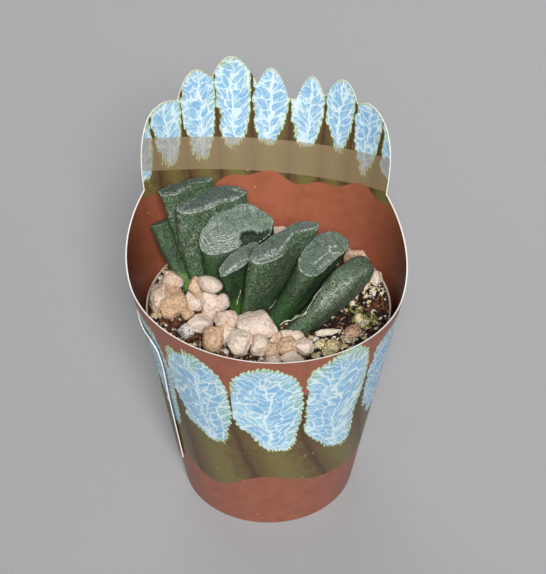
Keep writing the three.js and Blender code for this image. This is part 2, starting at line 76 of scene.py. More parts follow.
# Each leaf: middle of its window (tip) and of its base, turn of the window's width in degrees, half
# width and depth, lean of its normal, bend of the blade, the base's share of the half width and depth
# (foot), and height of the window's dome
LEAVES = {
    "leaf_1": dict(tip=(-21.4, 15.3, 62.3), base=(-10.4, 7.4), turn=36, half=(6.3, 1.9),
                   lean=(-0.25, 0.42), bend=(-0.9, 0.1), foot=(0.86, 0.46), dome=0.5),
    "leaf_2": dict(tip=(-18.6, 17.5, 69.8), base=(-10.3, 5.5), turn=34, half=(7, 2.1),
                   lean=(-0.03, 0.2), bend=(0.4, 0.4), foot=(0.79, 0.4), dome=0.5),
    "leaf_3": dict(tip=(-12.7, 13.8, 68.7), base=(-7, 5.2), turn=40, half=(9.1, 2.7),
                   lean=(0.15, 0.04), bend=(-1.2, -0.4), foot=(0.74, 0.33), dome=0.6),
    "leaf_4": dict(tip=(-7.5, 6.4, 66.1), base=(-5.6, 3.6), turn=27, half=(8.6, 4.7),
                   lean=(-0.02, -0.52), bend=(0.1, 0.2), foot=(0.74, 0.38), dome=0.7),
    "leaf_5": dict(tip=(-6.4, -1.1, 63.3), base=(-4.4, 2.2), turn=52, half=(6.2, 1.5),
                   lean=(0.2, -0.25), bend=(0.4, -0.2), foot=(0.72, 0.65), dome=0.4),
    "leaf_6": dict(tip=(3.8, 2.4, 66.3), base=(-2.7, 1.2), turn=49, half=(11.3, 2.1),
                   lean=(0.27, -0.13), bend=(0.6, -0.4), foot=(0.64, 0.65), dome=0.5),
    "leaf_7": dict(tip=(12.2, 3.5, 61.4), base=(0.6, -1.3), turn=53, half=(7.2, 3.2),
                   lean=(0.22, -0.27), bend=(0.6, -0.3), foot=(0.76, 0.69), dome=0.6),
    "leaf_8": dict(tip=(18.4, 1.2, 57.8), base=(5, -4.6), turn=44, half=(6.2, 2.7),
                   lean=(0.49, -0.19), bend=(1.3, 0), foot=(0.98, 0.83), dome=2.4),
}
FROM_INSIDE = [5, 4, 6, 3, 7, 2, 8, 1]
BITTEN_LEAF = "leaf_4"

# How far out each window's rim lies, as a share of its plain oval, at directions in degrees
RIMS = {
    "leaf_1": {0: 1.05, 40: 1.2, 90: 1, 140: 1.02, 180: 0.96, 220: 0.98, 270: 0.9, 320: 1.1},
    "leaf_2": {0: 0.97, 35: 0.9, 70: 1.05, 110: 1.12, 145: 1, 165: 0.93, 185: 0.97, 225: 1.15, 245: 1.2,
               265: 1, 305: 1.12, 340: 0.95},
    "leaf_3": {0: 0.95, 35: 1, 60: 1.2, 80: 1.22, 95: 1.08, 125: 1.03, 180: 1.04, 210: 1.01, 230: 0.97,
               255: 0.8, 280: 0.82, 305: 0.97, 335: 1.07},
    "leaf_4": {0: 0.93, 16: 0.87, 32: 0.85, 59: 1.07, 71: 1.12, 82: 0.98, 95: 1.11, 107: 1.09, 130: 0.9,
               155: 0.92, 178: 1, 212: 1.03, 245: 0.99, 260: 0.94, 290: 1, 318: 1.05, 345: 1.01},
    "leaf_5": {12: 1.1, 58: 1.1, 95: 1.2, 130: 1.1, 161: 0.96, 191: 1.05, 213: 0.97, 235: 0.85, 269: 1,
               290: 1.15, 330: 1.08},
    "leaf_6": {0: 0.82, 25: 0.78, 45: 0.88, 68: 1, 90: 1.1, 115: 1.08, 171: 1, 211: 1.06, 232: 1.2,
               248: 1.34, 262: 1.15, 282: 1, 301: 1.24, 314: 1.1, 332: 0.95, 346: 0.88},
    "leaf_7": {10: 0.96, 47: 1.04, 70: 1.2, 91: 1.2, 117: 1.1, 140: 1.03, 173: 1.06, 205: 1.05, 231: 1.08,
               253: 0.9, 285: 0.86, 307: 1, 330: 1},
    "leaf_8": {0: 1.08, 45: 1.12, 90: 0.95, 180: 1, 215: 1.12, 270: 1, 315: 1.14},
}

# Stones: x, y, length, width, height, turn, lift, tint (0 pale pink, 1 golden)
EGG = (-13.1, 1.3, 5.6, 4, 3.6, -24, 7.7, 0.1)  # the one smooth pebble
STONES = {
    "gravel_front": [
        # The stones at the far left have their tint raised towards golden, to 1.1 on one: partly their own
        # tan, partly painted shade from the sleeve on that side
        (-21.7, 4.6, 5, 5.4, 5.6, 20, 2.4, 0.5), (-21.2, 0, 6.8, 7.2, 5.6, 10, 0.2, 1.1),
        (-21.7, -1.8, 4.6, 4.4, 4, 0, 0, 0.9), (-24.7, 0.8, 3.6, 8.6, 6.2, 4, 0.8, 0.55),
        (-16.4, 2.8, 3.8, 3.8, 5.2, 30, 4, 0.8), EGG,
        (-16.6, 0.4, 4.4, 4.2, 4.6, 15, 0.4, 0.2), (-13.1, 0.4, 4.2, 3.8, 5.4, 50, 1.6, 0.15),
        (-15, 1.6, 3.4, 3.2, 4.4, 0, 2, 0.85), (-10.3, 0.5, 3.6, 4, 4.2, 75, 2.6, 0.1),
        (-12, -2.6, 5.2, 4.8, 4.4, 25, 0, 0.25), (-18.5, -2.4, 3, 3.8, 3.5, 60, 0, 0.95),
        (-14.9, -6.3, 5.8, 4.8, 4.2, 10, 0, 0.15), (-9, -5.1, 5.2, 4.8, 5.4, -20, 1, 0.45),
        (-12, -11.8, 5.4, 6.4, 4.6, 12, 0, 1.0), (-9.6, -10.4, 5.4, 3.8, 4.4, 35, 0.3, 0.35),
        (-6.3, -14.2, 5.3, 6.4, 5.2, -25, 0, 0.0), (-2.1, -7, 8.8, 6, 6.2, 4, 0.7, 0.2),
        (-1.9, -13.6, 4.2, 5.4, 4.4, 0, 0, 0.2), (0.8, -15.4, 4, 4.2, 3.6, 40, 0, 0.8),
        (1.6, -10.6, 3.4, 3.4, 3.2, 0, 0, 0.8), (4.9, -9.7, 5.4, 3.8, 3.6, -12, 0, 0.3),
        (4.3, -13.3, 4.6, 4.2, 3.8, 20, 0, 0.85), (7.9, -14, 4, 4, 3.6, 60, 0, 0.1),
        (5.2, -17.4, 5.2, 3.4, 3.2, 6, 0, 0.3), (1, -18.6, 3.4, 3, 2.8, 0, 0, 0.2),
    ],
    "gravel_back": [
        (20.7, 13.4, 7, 4.6, 4.8, -32, 1.8, 0.8), (24.2, 7.9, 3.2, 4.8, 4.2, 8, 1.6, 0.2),
        (19.4, 11.4, 4.4, 3.6, 3.4, 20, 0, 0.3), (21.6, 8.4, 4, 4, 3.4, 0, 0, 0.4),
        (22.9, 8.7, 2.4, 2.6, 2.6, 0, 0.5, 0.5),
    ],
    "gravel_grey": [(-18.3, -8.4, 3.5, 3.2, 3.4, -15, 0.1, 0)],
    "gravel_rear": [(2.3, 22.3, 4.8, 4.4, 6.6, 30, 0, 0.3)],
}
STONE_SEAT, STONE_SWELL = 0.56, 1.06  # middle over the soil by its height, and size by its row's
STONE_TILT = 0.25  # radians at most
BARK_CHIP = (18.8, -8.2, 4.8, 3.4, 2.6, 50, 0, 0)
WOOD_SLIVER = (13, -8.7, 6, 1.8, 1.9, 6, 0, 0)


# Small tools

def smooth(t):
    u = np.clip(t, 0, 1)
    return u * u * (3 - 2 * u)


def mix(a, b, t):
    return a + (b - a) * t


def unit(v):
    return v / np.linalg.norm(v, axis=-1, keepdims=True)


def turns(count):
    """Equal steps round a circle, in radians."""
    return np.linspace(0, 2 * np.pi, count, endpoint=False)


def lumps(points, size, seed=0):
    """Smooth random numbers from -1 to 1 at these points: one hill or hollow per size."""
    p = np.asarray(points, float) / size
    cell = np.floor(p).astype(np.int64)
    share = smooth(p - cell)
    total = np.zeros(len(p))
    for corner in range(8):
        step = np.array([corner & 1, corner >> 1 & 1, corner >> 2 & 1])
        x, y, z = (cell + step).T
        h = (x * 73856093) ^ (y * 19349663) ^ (z * 83492791) ^ (seed * 2654435761)
        h = (h ^ (h >> 13)) * 1274126177 & 0x7FFFFFFF
        weight = np.prod(np.where(step, share, 1 - share), axis=1)
        total += weight * ((h >> 8 & 0xFFFF) / 32767.5 - 1)
    return total


def grain(points, size, seed=0, octaves=3):
    """Lumps on lumps, each half as large and half as high as the last."""
    return sum(lumps(points, size / 2**k, seed + k) / 2**k for k in range(octaves))


def grid_faces(rows, columns, joined=True):
    """Quads between the rows of a grid. Its last column joins the first one, or not."""
    width = columns if joined else columns - 1
    k, i = (a.ravel() for a in np.meshgrid(np.arange(rows - 1), np.arange(width), indexing="ij"))
    j = (i + 1) % columns
    low, high = k * columns, (k + 1) * columns
    return np.stack([low + i, low + j, high + j, high + i], 1)


def tube_faces(rows, columns):
    """The joined quads of a grid, and a cap over its first row and over its last."""
    last = (rows - 1) * columns
    caps = [list(range(columns - 1, -1, -1)), list(range(last, last + columns))]
    return grid_faces(rows, columns).tolist() + caps


def link(name, data):
    made = bpy.data.objects.new(name, data)
    bpy.context.scene.collection.objects.link(made)
    return made


def piece(name, points, faces, materials, slot, nodes=(), kinds=None, marks=None, sharp=None):
    """A mesh in the frame, in place of these CAD nodes. Kinds give each face's material by number.
    Marks are named numbers, one for each point or one for each corner of each face."""
    mesh = bpy.data.meshes.new(name)
    mesh.from_pydata((np.asarray(points) * MM).tolist(), [], [list(map(int, f)) for f in faces])
    for material in materials:
        mesh.materials.append(material)
    if kinds is not None:
        mesh.polygons.foreach_set("material_index", np.asarray(kinds, np.int32))
    mesh.polygons.foreach_set("use_smooth", np.ones(len(mesh.polygons), bool))
    for key, values in (marks or {}).items():
        domain = "POINT" if len(values) == len(mesh.vertices) else "CORNER"
        layer = mesh.attributes.new(key, "FLOAT", domain)
        layer.data.foreach_set("value", np.asarray(values, np.float32))
    if sharp:
        mesh.set_sharp_from_angle(angle=math.radians(sharp))
    mesh.validate()
    made = link(name, mesh)
    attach(made, "root")
    if nodes:
        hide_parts(*nodes)
    return made


def on_cone(angle, radius, z):
    turn = np.radians(angle)
    return np.stack(np.broadcast_arrays(radius * np.sin(turn), -radius * np.cos(turn), z), -1)


# Materials. A net is a material whose nodes are written as sums and products of wires.

def colour(code):
    """A colour as red, green, blue and alpha in linear light, from the usual six digits."""
    parts = [int(code[k:k + 2], 16) / 255 for k in (0, 2, 4)]
    return tuple(c / 12.92 if c < 0.04045 else ((c + 0.055) / 1.055) ** 2.4 for c in parts) + (1,)


class Wire:
    """A number, vector or colour that comes out of one of a net's nodes."""

    def __init__(self, net, socket):
        self.net, self.socket = net, socket

    def __add__(self, other):
        return self.net.math("ADD", self, other)

    def __sub__(self, other):
        return self.net.math("SUBTRACT", self, other)

    def __rsub__(self, other):
        return self.net.math("SUBTRACT", other, self)

    def __mul__(self, other):
        return self.net.math("MULTIPLY", self, other)

    def __truediv__(self, other):
        return self.net.math("DIVIDE", self, other)

    def __pow__(self, other):
        return self.net.math("POWER", self, other)

    def __abs__(self):
        return self.net.math("ABSOLUTE", self)

    __radd__, __rmul__ = __add__, __mul__


class Net:
    """A material and the makers of its nodes. A colour is written as six digits."""

    def __init__(self, name):
        self.material = bpy.data.materials.new(name)
        self.material.use_nodes = True
        self.tree = self.material.node_tree
        place = self.wire("TexCoord", out="Object")
        self.place = self.wire("VectorMath", place, inputs={"Scale": 1 / MM}, operation="SCALE")

    def feed(self, socket, value):
        if isinstance(value, Wire):
            self.tree.links.new(value.socket, socket)
        else:
            socket.default_value = colour(value) if isinstance(value, str) else value

    def node(self, kind, *values, inputs=None, **settings):
        """A new node with these settings, fed these values in order and these inputs by name."""
        made = self.tree.nodes.new("ShaderNode" + kind)
        for key, value in settings.items():
            setattr(made, key, value)
        for key, value in {**dict(enumerate(values)), **(inputs or {})}.items():
            self.feed(made.inputs[key], value)
        return made

    def wire(self, kind, *values, out=0, **rest):
        return Wire(self, self.node(kind, *values, **rest).outputs[out])

    def math(self, operation, *values):
        return self.wire("Math", *values, operation=operation)

    def vector(self, operation, *values):
        return self.wire("VectorMath", *values, operation=operation)

    def join(self, x, y, z=0.0):
        return self.wire("CombineXYZ", x, y, z)

    def split(self, value, kind="SeparateXYZ"):
        return [Wire(self, socket) for socket in self.node(kind, value).outputs]

    def mark(self, name):
        return self.wire("Attribute", out="Fac", attribute_name=name)

    def marks(self, names):
        return [self.mark(name) for name in names.split()]

    def noise(self, per_mm, detail=2, roughness=0.5, at=None):
        inputs = {"Vector": at or self.place, "Scale": per_mm, "Detail": detail, "Roughness": roughness}
        return self.wire("TexNoise", out="Fac", inputs=inputs)

    def cells(self, per_mm, feature="F1", at=None):
        inputs = {"Vector": at or self.place, "Scale": per_mm}
        return self.wire("TexVoronoi", out="Distance", inputs=inputs, feature=feature)

    def chance(self, value):
        """Three random numbers for each whole number."""
        dice = self.wire("TexWhiteNoise", out="Color", inputs={"W": value}, noise_dimensions="1D")
        return self.split(dice, "SeparateColor")

    def zigzag(self, value):
        """From 1 at each whole number down to 0 halfway to the next."""
        return abs(self.math("FRACT", value) - 0.5) * 2.0

    def step(self, value, low, high, to=(0.0, 1.0)):
        """From to[0] at low to to[1] at high, smoothly. Low may be the larger of the two."""
        return self.wire("MapRange", value, low, high, *to, interpolation_type="SMOOTHSTEP")

    def mix(self, share, a, b, blend="MIX"):
        inputs = {6: a, 7: b}
        return self.wire("Mix", share, out=2, inputs=inputs, data_type="RGBA", blend_type=blend,
                         clamp_factor=True)

    def shade(self, value, low, high, a, b):
        """A colour that goes from a where the value is low to b where it is high."""
        return self.mix(self.step(value, low, high), a, b)

    def bump(self, height, depth, under=None):
        """Relief of this depth in millimetres where the height runs from 0 to 1."""
        inputs = {"Strength": 1, "Distance": depth * MM, "Height": height}
        if under is not None:
            inputs["Normal"] = under
        return self.wire("Bump", inputs=inputs)

    def finish(self, base, rough, relief, **plain):
        inputs = {"Base Color": base, "Roughness": rough, "Normal": relief, **plain}
        for key, value in inputs.items():
            self.feed(self.tree.nodes["Principled BSDF"].inputs[key.replace("_", " ")], value)
        return self.material


# The print: rows of tongue-shaped leaves with pale windows, over a terracotta ground
WINDOW_BLUE = "86b5da"
WINDOW_PALE = "a6d0e3"
WINDOW_GREEN = "93b592"
VEIN = "dcedf1"
FRINGE = "c9deaa"
FRINGE_DEEP = "8fa868"
OLIVE = "756c3d"
OLIVE_DARK = "45371f"
GAP_BROWN = "644e33"
NAME_BAND = "a08c6c"

# Rows of leaves: width of a leaf, foot and tip of its window, all in millimetres, and a seed
FRONT_ROW = dict(wide=16.4, low=26.5, top=56.5, seed=3.0)
CREST_ROW = dict(wide=9.6, low=70.5, top=94.0, seed=31.0)
TONGUES_ROUND = 11  # leaves in the printed row round the sleeve
BAND_WIDE, BAND_EDGE = 8.2, 0.15  # the crest's bare band for a name, and its soft edge
INK_EDGE = 0.12  # half width of the edge where one part of the print turns into the next


def ground(net, light, dark):
    return net.shade(net.noise(0.35, 3), 0.35, 0.7, light, dark)


def tongues(net, along, high, wide, low, top, seed, below_edge=None):
    """One row of windows. Returns its colour and where it covers what lies behind."""
    number = net.math("ROUND", along)
    r1, r2, r3 = net.chance(number + seed)
    low_end = low + (r1 - 0.5) * 0.4 * wide
    top_end = top + (r2 - 0.5) * 0.4 * wide
    y = (high - low_end) / (top_end - low_end)
    x = (along - number) * wide + (r3 - 0.5) * 0.3 * wide * (y - 0.5)
    at = net.join(x, high, number * 9.7 + seed)
    waver = net.noise(2.6 / wide, 2, at=at) - 0.5
    wiggle = net.noise(9.0 / wide, 3, at=at) - 0.5

    # How far inside the ragged outline a point lies, in millimetres
    half = wide * (0.47 + r2 * 0.03) * net.step(y, -0.1, 0.6, to=(0.74, 1.0))
    across = net.math("MINIMUM", abs(x + waver * 0.18 * wide) / half, 1.6) ** 2.5
    ends = abs(y * 2.0 - 1.0) if below_edge is None else net.math("MAXIMUM", 1.0 - y * 2.0, 0.0)
    inside = (1.0 - (across + net.math("MINIMUM", ends, 1.6) ** 3.0) ** 0.4) * half
    lower = net.step(y, 0.45, 0.05)
    around = net.math("ARCTAN2", y * 2.0 - 1.0, x / half)
    ray = net.zigzag(around * (0.5 * wide) + wiggle * 1.6)
    inside = inside + (waver * 0.2 + wiggle * 0.08 + (ray - 0.5) * (lower * 0.008 + 0.018)) * wide
    if below_edge is not None:
        inside = net.math("MINIMUM", inside, below_edge)
    cover = net.step(inside, -INK_EDGE / 2, INK_EDGE / 2)

    # Veins run from the midrib up and outwards, and fork as they go
    off_rib = abs(x + waver * 0.4 * wide + wiggle * 0.08 * wide)
    climb = high - off_rib * 0.75 + wiggle * 1.3
    side = number * 5.1 + net.math("SIGN", x) * 1.7 + seed
    gaps = net.cells(1.0, "DISTANCE_TO_EDGE", at=net.join(off_rib * 0.34, climb * 0.52, side))
    thick = 0.03 + (wiggle + waver) * 0.1
    veins = net.step(gaps, thick + 0.07, thick)
    rib = net.step(off_rib, 0.42, 0.12) * net.step(y, 1.05, 0.7)
    hairs = net.step(net.zigzag(climb * 0.8), 0.42, 0.05) * net.step(inside, 2.6, 0.6)
    veins = net.math("MAXIMUM", net.math("MAXIMUM", veins * 0.9, rib), hairs * 0.8)
    fill = net.shade(wiggle + waver * 0.7, -0.15, 0.25, WINDOW_BLUE, WINDOW_PALE)
    green = net.math("MAXIMUM", net.step(y + waver * 0.7, 0.75, 1.05) * 0.85,
                     net.step(x / half + waver, 0.45, 0.95) * 0.5)
    fill = net.mix(green, fill, WINDOW_GREEN)
    picture = net.mix(veins, fill, VEIN)
    rim = net.step(inside, 0.5 - lower * 0.1, 0.16)
    fringe = net.shade(ray, 0.3, 0.8, FRINGE_DEEP, FRINGE)
    return net.mix(rim * 0.85, picture, fringe), cover


def bodies(net, along):
    """The leaves' sides below their windows, with dark clefts between them."""
    soft = net.noise(0.5, 3)
    x = abs(along - net.math("ROUND", along) + (soft - 0.5) * 0.12)
    cleft = net.step(x, 0.4, 0.5)
    side = net.shade(x + (soft - 0.5) * 0.5, 0.05, 0.45, OLIVE, GAP_BROWN)
    grainy = net.mix(net.step(net.noise(2.2, 3), 0.35, 0.7) * 0.3, side, OLIVE_DARK)
    return net.mix(cleft * 0.75, grainy, OLIVE_DARK)


def print_finish(net, picture):
    """Coated card: a fine screen of ink, a few pale specks of dust and a soft gloss."""
    ink = net.noise(9.0, 2)
    picture = net.mix(net.step(ink, 0.3, 0.8) * 0.10, picture, "2a1c14", "MULTIPLY")
    dust = net.cells(0.42)
    size = net.noise(0.21, 1)
    specks = net.step(dust, 0.09, 0.05) * net.step(size, 0.52, 0.6)
    picture = net.mix(specks * 0.55, picture, "e9d8c8")
    wave = net.noise(0.18, 2)
    tooth = net.noise(6.0, 2)
    relief = net.bump(tooth, 0.012, net.bump(wave, 0.12))
    rough = net.step(tooth, 0.2, 0.8, to=(0.36, 0.46))
    return net.finish(picture, rough, relief, Specular_IOR_Level=0.45)


def crest_print(net):
    """The picture on the crest, and where the crest is."""
    along, high, below_edge = net.marks("crest_along high below_edge")
    row, cover = tongues(net, along, high, below_edge=below_edge, **CREST_ROW)
    on_crest = net.step(net.mark("crest_foot"), -INK_EDGE, INK_EDGE)
    return net.mix(cover, bodies(net, along), row), on_crest


def outside_print():
    net = Net("card_outside")
    along, high, foot = net.marks("along high foot")
    swell = net.noise(1.0, 2, at=net.join(along * 1.3, 0.0)) - 0.5
    bodied = net.step(foot, -INK_EDGE, INK_EDGE) * net.step(high + swell * 14.0, 47.0, 46.6)
    picture = net.mix(bodied, ground(net, "975a46", "8d533f"), bodies(net, along))
    row, cover = tongues(net, along, high, **FRONT_ROW)
    crest, on_crest = crest_print(net)
    return print_finish(net, net.mix(on_crest, net.mix(cover, picture, row), crest))


def inside_print():
    net = Net("card_inside")
    crest, on_crest = crest_print(net)
    below_band, from_back = net.marks("below_band from_back")
    banded = net.step(below_band, 0.0, BAND_EDGE) * net.step(below_band, BAND_WIDE + BAND_EDGE, BAND_WIDE)
    crest = net.mix(banded * 0.62, crest, NAME_BAND)
    plain = ground(net, "a66147", "9c5a40")
    # Painted shade: the inside ground turns dark brown towards the sides and the front, away from the back
    # wall, where less light reaches
    plain = net.mix(net.step(from_back, 34.0, 100.0) * 0.92, plain, "5d2b1b")
    return print_finish(net, net.mix(on_crest, plain, crest))


def card_edge():
    net = Net("card_edge")
    fibre = net.noise(4.0, 3)
    tint = net.shade(fibre, 0.3, 0.75, "f6f3ee", "dcd3c8")
    return net.finish(tint, 0.8, net.bump(fibre, 0.03))


# The sleeve

def crest_height(back):
    top = np.full_like(back, VALLEY_Z)
    for centre, tip, half in LOBES:
        top = np.maximum(top, tip - LOBE_DEPTH * ((back - centre) / half) ** 2)
    for side, (start, end, low, high, roundness) in SHOULDERS.items():
        out = np.clip((side * back - start) / (end - start), 0, 1)
        shoulder = mix(low, high, (1 - out * out) ** roundness)
        top = np.where(side * back > start, np.minimum(top, shoulder), top)
    return top


def edge_height(angle):
    angle = (np.asarray(angle, float) + 180) % 360 - 180
    away = np.abs(angle)
    rise = np.clip((np.minimum(away, SIDE_TO) - SIDE_FROM) / (SIDE_TO - SIDE_FROM), 0, 1)
    side = RIM_Z + SIDE_RISE * rise**1.35 - RIM_TILT * np.sin(np.radians(angle))
    back = np.where(angle < 0, away - 180, 180 - away)
    end = np.where(angle > 0, SHOULDERS[1][1], SHOULDERS[-1][1])
    return np.where(np.abs(back) < end, np.maximum(side, crest_height(back)), side)


def print_marks(angle, z, shift=0.0):
    """Where each point lies in the printed picture."""
    turn = np.radians(angle)
    behind = 180 - (angle + 360) % 360  # from the back, positive towards +X
    lobes = np.array([centre for centre, _, _ in LOBES], float)
    lobes = np.concatenate([[lobes[0] - 15], lobes, [lobes[-1] + 14]])

    # The printed leaves bend together towards the foot, and every part ends in a wavy line
    below = np.maximum(0, 34 - z)
    gather = 0.016 * below + 0.0028 * below**1.6 * np.sin(turn + 0.3)
    foot_z = 15.6 + 2.4 * np.sin(4 * turn + 1.1) + np.sin(7 * turn + 2.2)
    crest_foot = 62.6 + 1.3 * np.sin(0.13 * behind + 2.4) + 0.7 * np.sin(0.31 * behind + 1.0)
    crest_foot = crest_foot + 0.0009 * behind**2
    band_top = 72.1 - 0.047 * behind + 0.00215 * behind**2
    marks = {
        "along": angle * TONGUES_ROUND / 360 + shift - gather,
        "high": z,
        "foot": z - foot_z,
        "crest_along": np.interp(behind, lobes, np.arange(len(lobes))),
        "crest_foot": z - crest_foot - 0.8 * np.maximum(0, np.abs(behind) - 61),
        "below_edge": edge_height(angle) - z,
        "below_band": band_top - z,
        "from_back": np.abs(behind),
    }
    return {key: values.ravel() for key, values in marks.items()}


FLAT_AT, FLAT_WIDE = -76, 26  # degrees from the front where the wall is pressed flat, half width
FLAT_DEPTH = 0.36  # halfway up
DENT_DEPTH, DENT_Z, DENT_HIGH = 0.42, 44, 5.5  # deeper still at the pot's lip


def wall_radius(angle, z):
    """Outer radius of the sleeve's wall: a cone, pressed a little flat against the pot at the left."""
    away = (angle - FLAT_AT + 180) % 360 - 180
    depth = FLAT_DEPTH * np.sin(np.pi * np.clip(z / RIM_Z, 0, 1))
    depth = depth + DENT_DEPTH * np.exp(-((z - DENT_Z) / DENT_HIGH) ** 2)
    return SLEEVE_FOOT_R + SLEEVE_FLARE * z - depth * np.exp(-((away / FLAT_WIDE) ** 2))


OUTSIDE, INSIDE, EDGE = 0, 1, 2  # the card's three materials, by number


def make_sleeve(rows=46):
    """Rows of points up the outside, over the edge and down the inside, joined at the foot."""
    angles = np.concatenate([np.arange(-120, 120, 1.5), np.arange(120, 240, 0.4)])
    columns = len(angles)
    share = np.linspace(0, 1, rows)[:, None]
    closed = np.append(angles, angles[0] + 360)
    z = share * edge_height(closed)
    bow = 0.12 * np.sin(3 * np.radians(closed) + 0.07 * z) * np.sin(np.pi * share)
    outer = wall_radius(closed, z) + bow
    level = np.concatenate([z, z[::-1]])
    points = on_cone(closed, np.concatenate([outer, (outer - CARD)[::-1]]), level)
    points = points[:, :columns].reshape(-1, 3)
    faces = grid_faces(2 * rows, columns)
    first = np.arange(columns)
    last = first + (2 * rows - 1) * columns
    foot = np.stack([last, np.roll(last, -1), np.roll(first, -1), first], 1)

    # The marks come from a grid that has its first column twice, so the print has no seam
    corners = grid_faces(2 * rows, columns + 1, joined=False).ravel()
    marks = print_marks(np.broadcast_to(closed, level.shape), level)
    marks = {key: np.append(values[corners], np.zeros(foot.size)) for key, values in marks.items()}
    side = (rows - 1) * columns
    kinds = np.repeat([OUTSIDE, EDGE, INSIDE, EDGE], [side, columns, side, columns])
    return points, np.concatenate([faces, foot]), kinds, marks


LAP_LOW, LAP_HIGH, LAP_CORNER_Z, LAP_REACH = 12.2, 53, 49.5, 58
LAP_AT, LAP_SLANT, LAP_SLANT_Z = -53.9, 0.22, 47  # degrees from the front, per millimetre below
LAP_CORNER = 5  # degrees cut off its upper corner
LAP_STAND, LAP_GLUE = 0.62, 0.04  # how far the free end and the glued part stand off the wall
LAP_SHIFT = 0.42  # of the print on the lap, in printed leaves


def lap_edge(z):
    corner = np.maximum(0, (z - LAP_CORNER_Z) / (LAP_HIGH - LAP_CORNER_Z))
    return LAP_AT - LAP_SLANT * np.maximum(0, LAP_SLANT_Z - z) - LAP_CORNER * corner**3


def make_lap(rows=60, columns=40):
    heights, shares = np.linspace(LAP_LOW, LAP_HIGH, rows), np.linspace(0, 1, columns) ** 1.6
    z, across = np.meshgrid(heights, shares, indexing="ij")
    angle = lap_edge(z) - LAP_REACH * across
    outer = wall_radius(angle, z) + (LAP_STAND * (1 - smooth(across / 0.5)) + LAP_GLUE)
    points = np.concatenate([on_cone(angle, r, z).reshape(-1, 3) for r in (outer, outer - CARD)])
    quads = grid_faces(rows, columns, joined=False)
    count = z.size
    grid = np.arange(count).reshape(rows, columns)
    loop = np.concatenate([grid[0, :-1], grid[:-1, -1], grid[-1, :0:-1], grid[:0:-1, 0]])
    rim = np.stack([loop, np.roll(loop, -1), np.roll(loop, -1) + count, loop + count], 1)
    faces = np.concatenate([quads[:, ::-1], quads + count, rim])
    kinds = np.repeat([OUTSIDE, INSIDE, EDGE], [len(quads), len(quads), len(rim)])
    marks = {key: np.tile(values, 2) for key, values in print_marks(angle, z, LAP_SHIFT).items()}
    marks["crest_foot"][:] = -1
    return points, faces, kinds, marks


CARD_MATERIALS = [outside_print(), inside_print(), card_edge()]
for name, nodes, form in (("sleeve_card", ["sleeve"], make_sleeve()), ("sleeve_lap", [], make_lap())):
    points, faces, kinds, marks = form
    piece(name, points, faces, CARD_MATERIALS, "sleeve_card", nodes, kinds, marks, sharp=50)


# The nursery pot

def pot_wall_radius(z):
    return mix(POT_FOOT_R, POT_RIM_R - LIP_STAND, z / POT_Z)


def pot_inside(z):
    """The radius inside the pot at this height."""
    return np.where(z > LIP_Z + 0.3, POT_RIM_R, pot_wall_radius(np.minimum(z, POT_Z))) - POT_WALL


def pot_profile(steps=30, edge=0.1):
    """Radius and height from the inner edge of the floor's top, up, over the lip and down outside."""
    inner = [(pot_wall_radius(z) - POT_WALL, z) for z in np.linspace(POT_FLOOR, LIP_Z + edge, steps)]
    lip = [(POT_BORE, LIP_Z + 0.35), (POT_BORE, POT_Z - edge), (POT_BORE + edge, POT_Z),
           (POT_RIM_R - edge, POT_Z), (POT_RIM_R, POT_Z - edge), (POT_RIM_R, LIP_Z + 2 * edge),
           (POT_RIM_R - 2 * edge, LIP_Z)]
    outer = [(pot_wall_radius(z), z) for z in np.linspace(LIP_Z, 0.3, steps)]
    return inner + lip + outer + [(POT_FOOT_R - 0.25, 0)]


def circle(radius, count, centre=(0, 0)):
    turn = turns(count)
    return np.stack([centre[0] + radius * np.cos(turn), centre[1] + radius * np.sin(turn)], 1)


def make_pot(around=180, hole_sides=28):
    profile = pot_profile()
    made = bmesh.new()
    corners = [made.verts.new((*p, z)) for r, z in profile for p in circle(r, around)]
    for face in grid_faces(len(profile), around):
        made.faces.new([corners[i] for i in face[::-1]])
    holes = [circle(DRAIN_R, hole_sides, middle) for middle in circle(DRAIN_RING_R, DRAINS)]
    rings = {}
    for z, edge in ((POT_FLOOR, corners[:around]), (0, corners[-around:])):
        rings[z] = [[made.verts.new((*p, z)) for p in hole] for hole in holes]
        sides = [made.edges.get((a, b)) or made.edges.new((a, b))
                 for loop in [edge] + rings[z] for a, b in zip(loop, loop[1:] + loop[:1])]
        bmesh.ops.triangle_fill(made, edges=sides, use_beauty=True)
    for top, low in zip(rings[POT_FLOOR], rings[0]):
        for k in range(hole_sides):
            n = (k + 1) % hole_sides
            made.faces.new([top[k], top[n], low[n], low[k]])
    bmesh.ops.recalc_face_normals(made, faces=made.faces)
    made.verts.index_update()
    points = np.array([v.co[:] for v in made.verts])
    faces = [[v.index for v in f.verts] for f in made.faces]
    made.free()
    return points, faces


def pot_plastic():
    net = Net("pot_plastic")
    cloud = net.noise(0.3, 2)
    tint = net.shade(cloud, 0.3, 0.7, "cbbfb3", "b3a292")
    scuff = net.noise(3.0, 3)
    return net.finish(tint, net.step(scuff, 0.3, 0.7, to=(0.3, 0.5)), net.bump(scuff, 0.02),
                      Subsurface_Weight=0.2, Subsurface_Scale=0.0015, IOR=1.49)


piece("thin_pot", *make_pot(), [pot_plastic()], "pot_plastic", ["grow_pot"], sharp=40)


# Leaves

def window_axes(shape):
    nx, ny = shape["lean"]
    normal = np.array([nx, ny, math.sqrt(1 - nx * nx - ny * ny)])
    turn = math.radians(shape["turn"])
    along = np.array([math.cos(turn), math.sin(turn), 0])
    wide = unit(along - normal * (along @ normal))
    return normal, along, wide, np.cross(normal, wide)


LEAF_SIDES, LEAF_RINGS, WINDOW_RINGS = 120, 76, 34
LEAF_LUMPS = [(8, 20, 0.4), (4, 0, 0.24), (1.5, 40, 0.08)]  # size, seed, height
BLEND = 0.06  # share of a leaf over which one part of its skin turns into the next


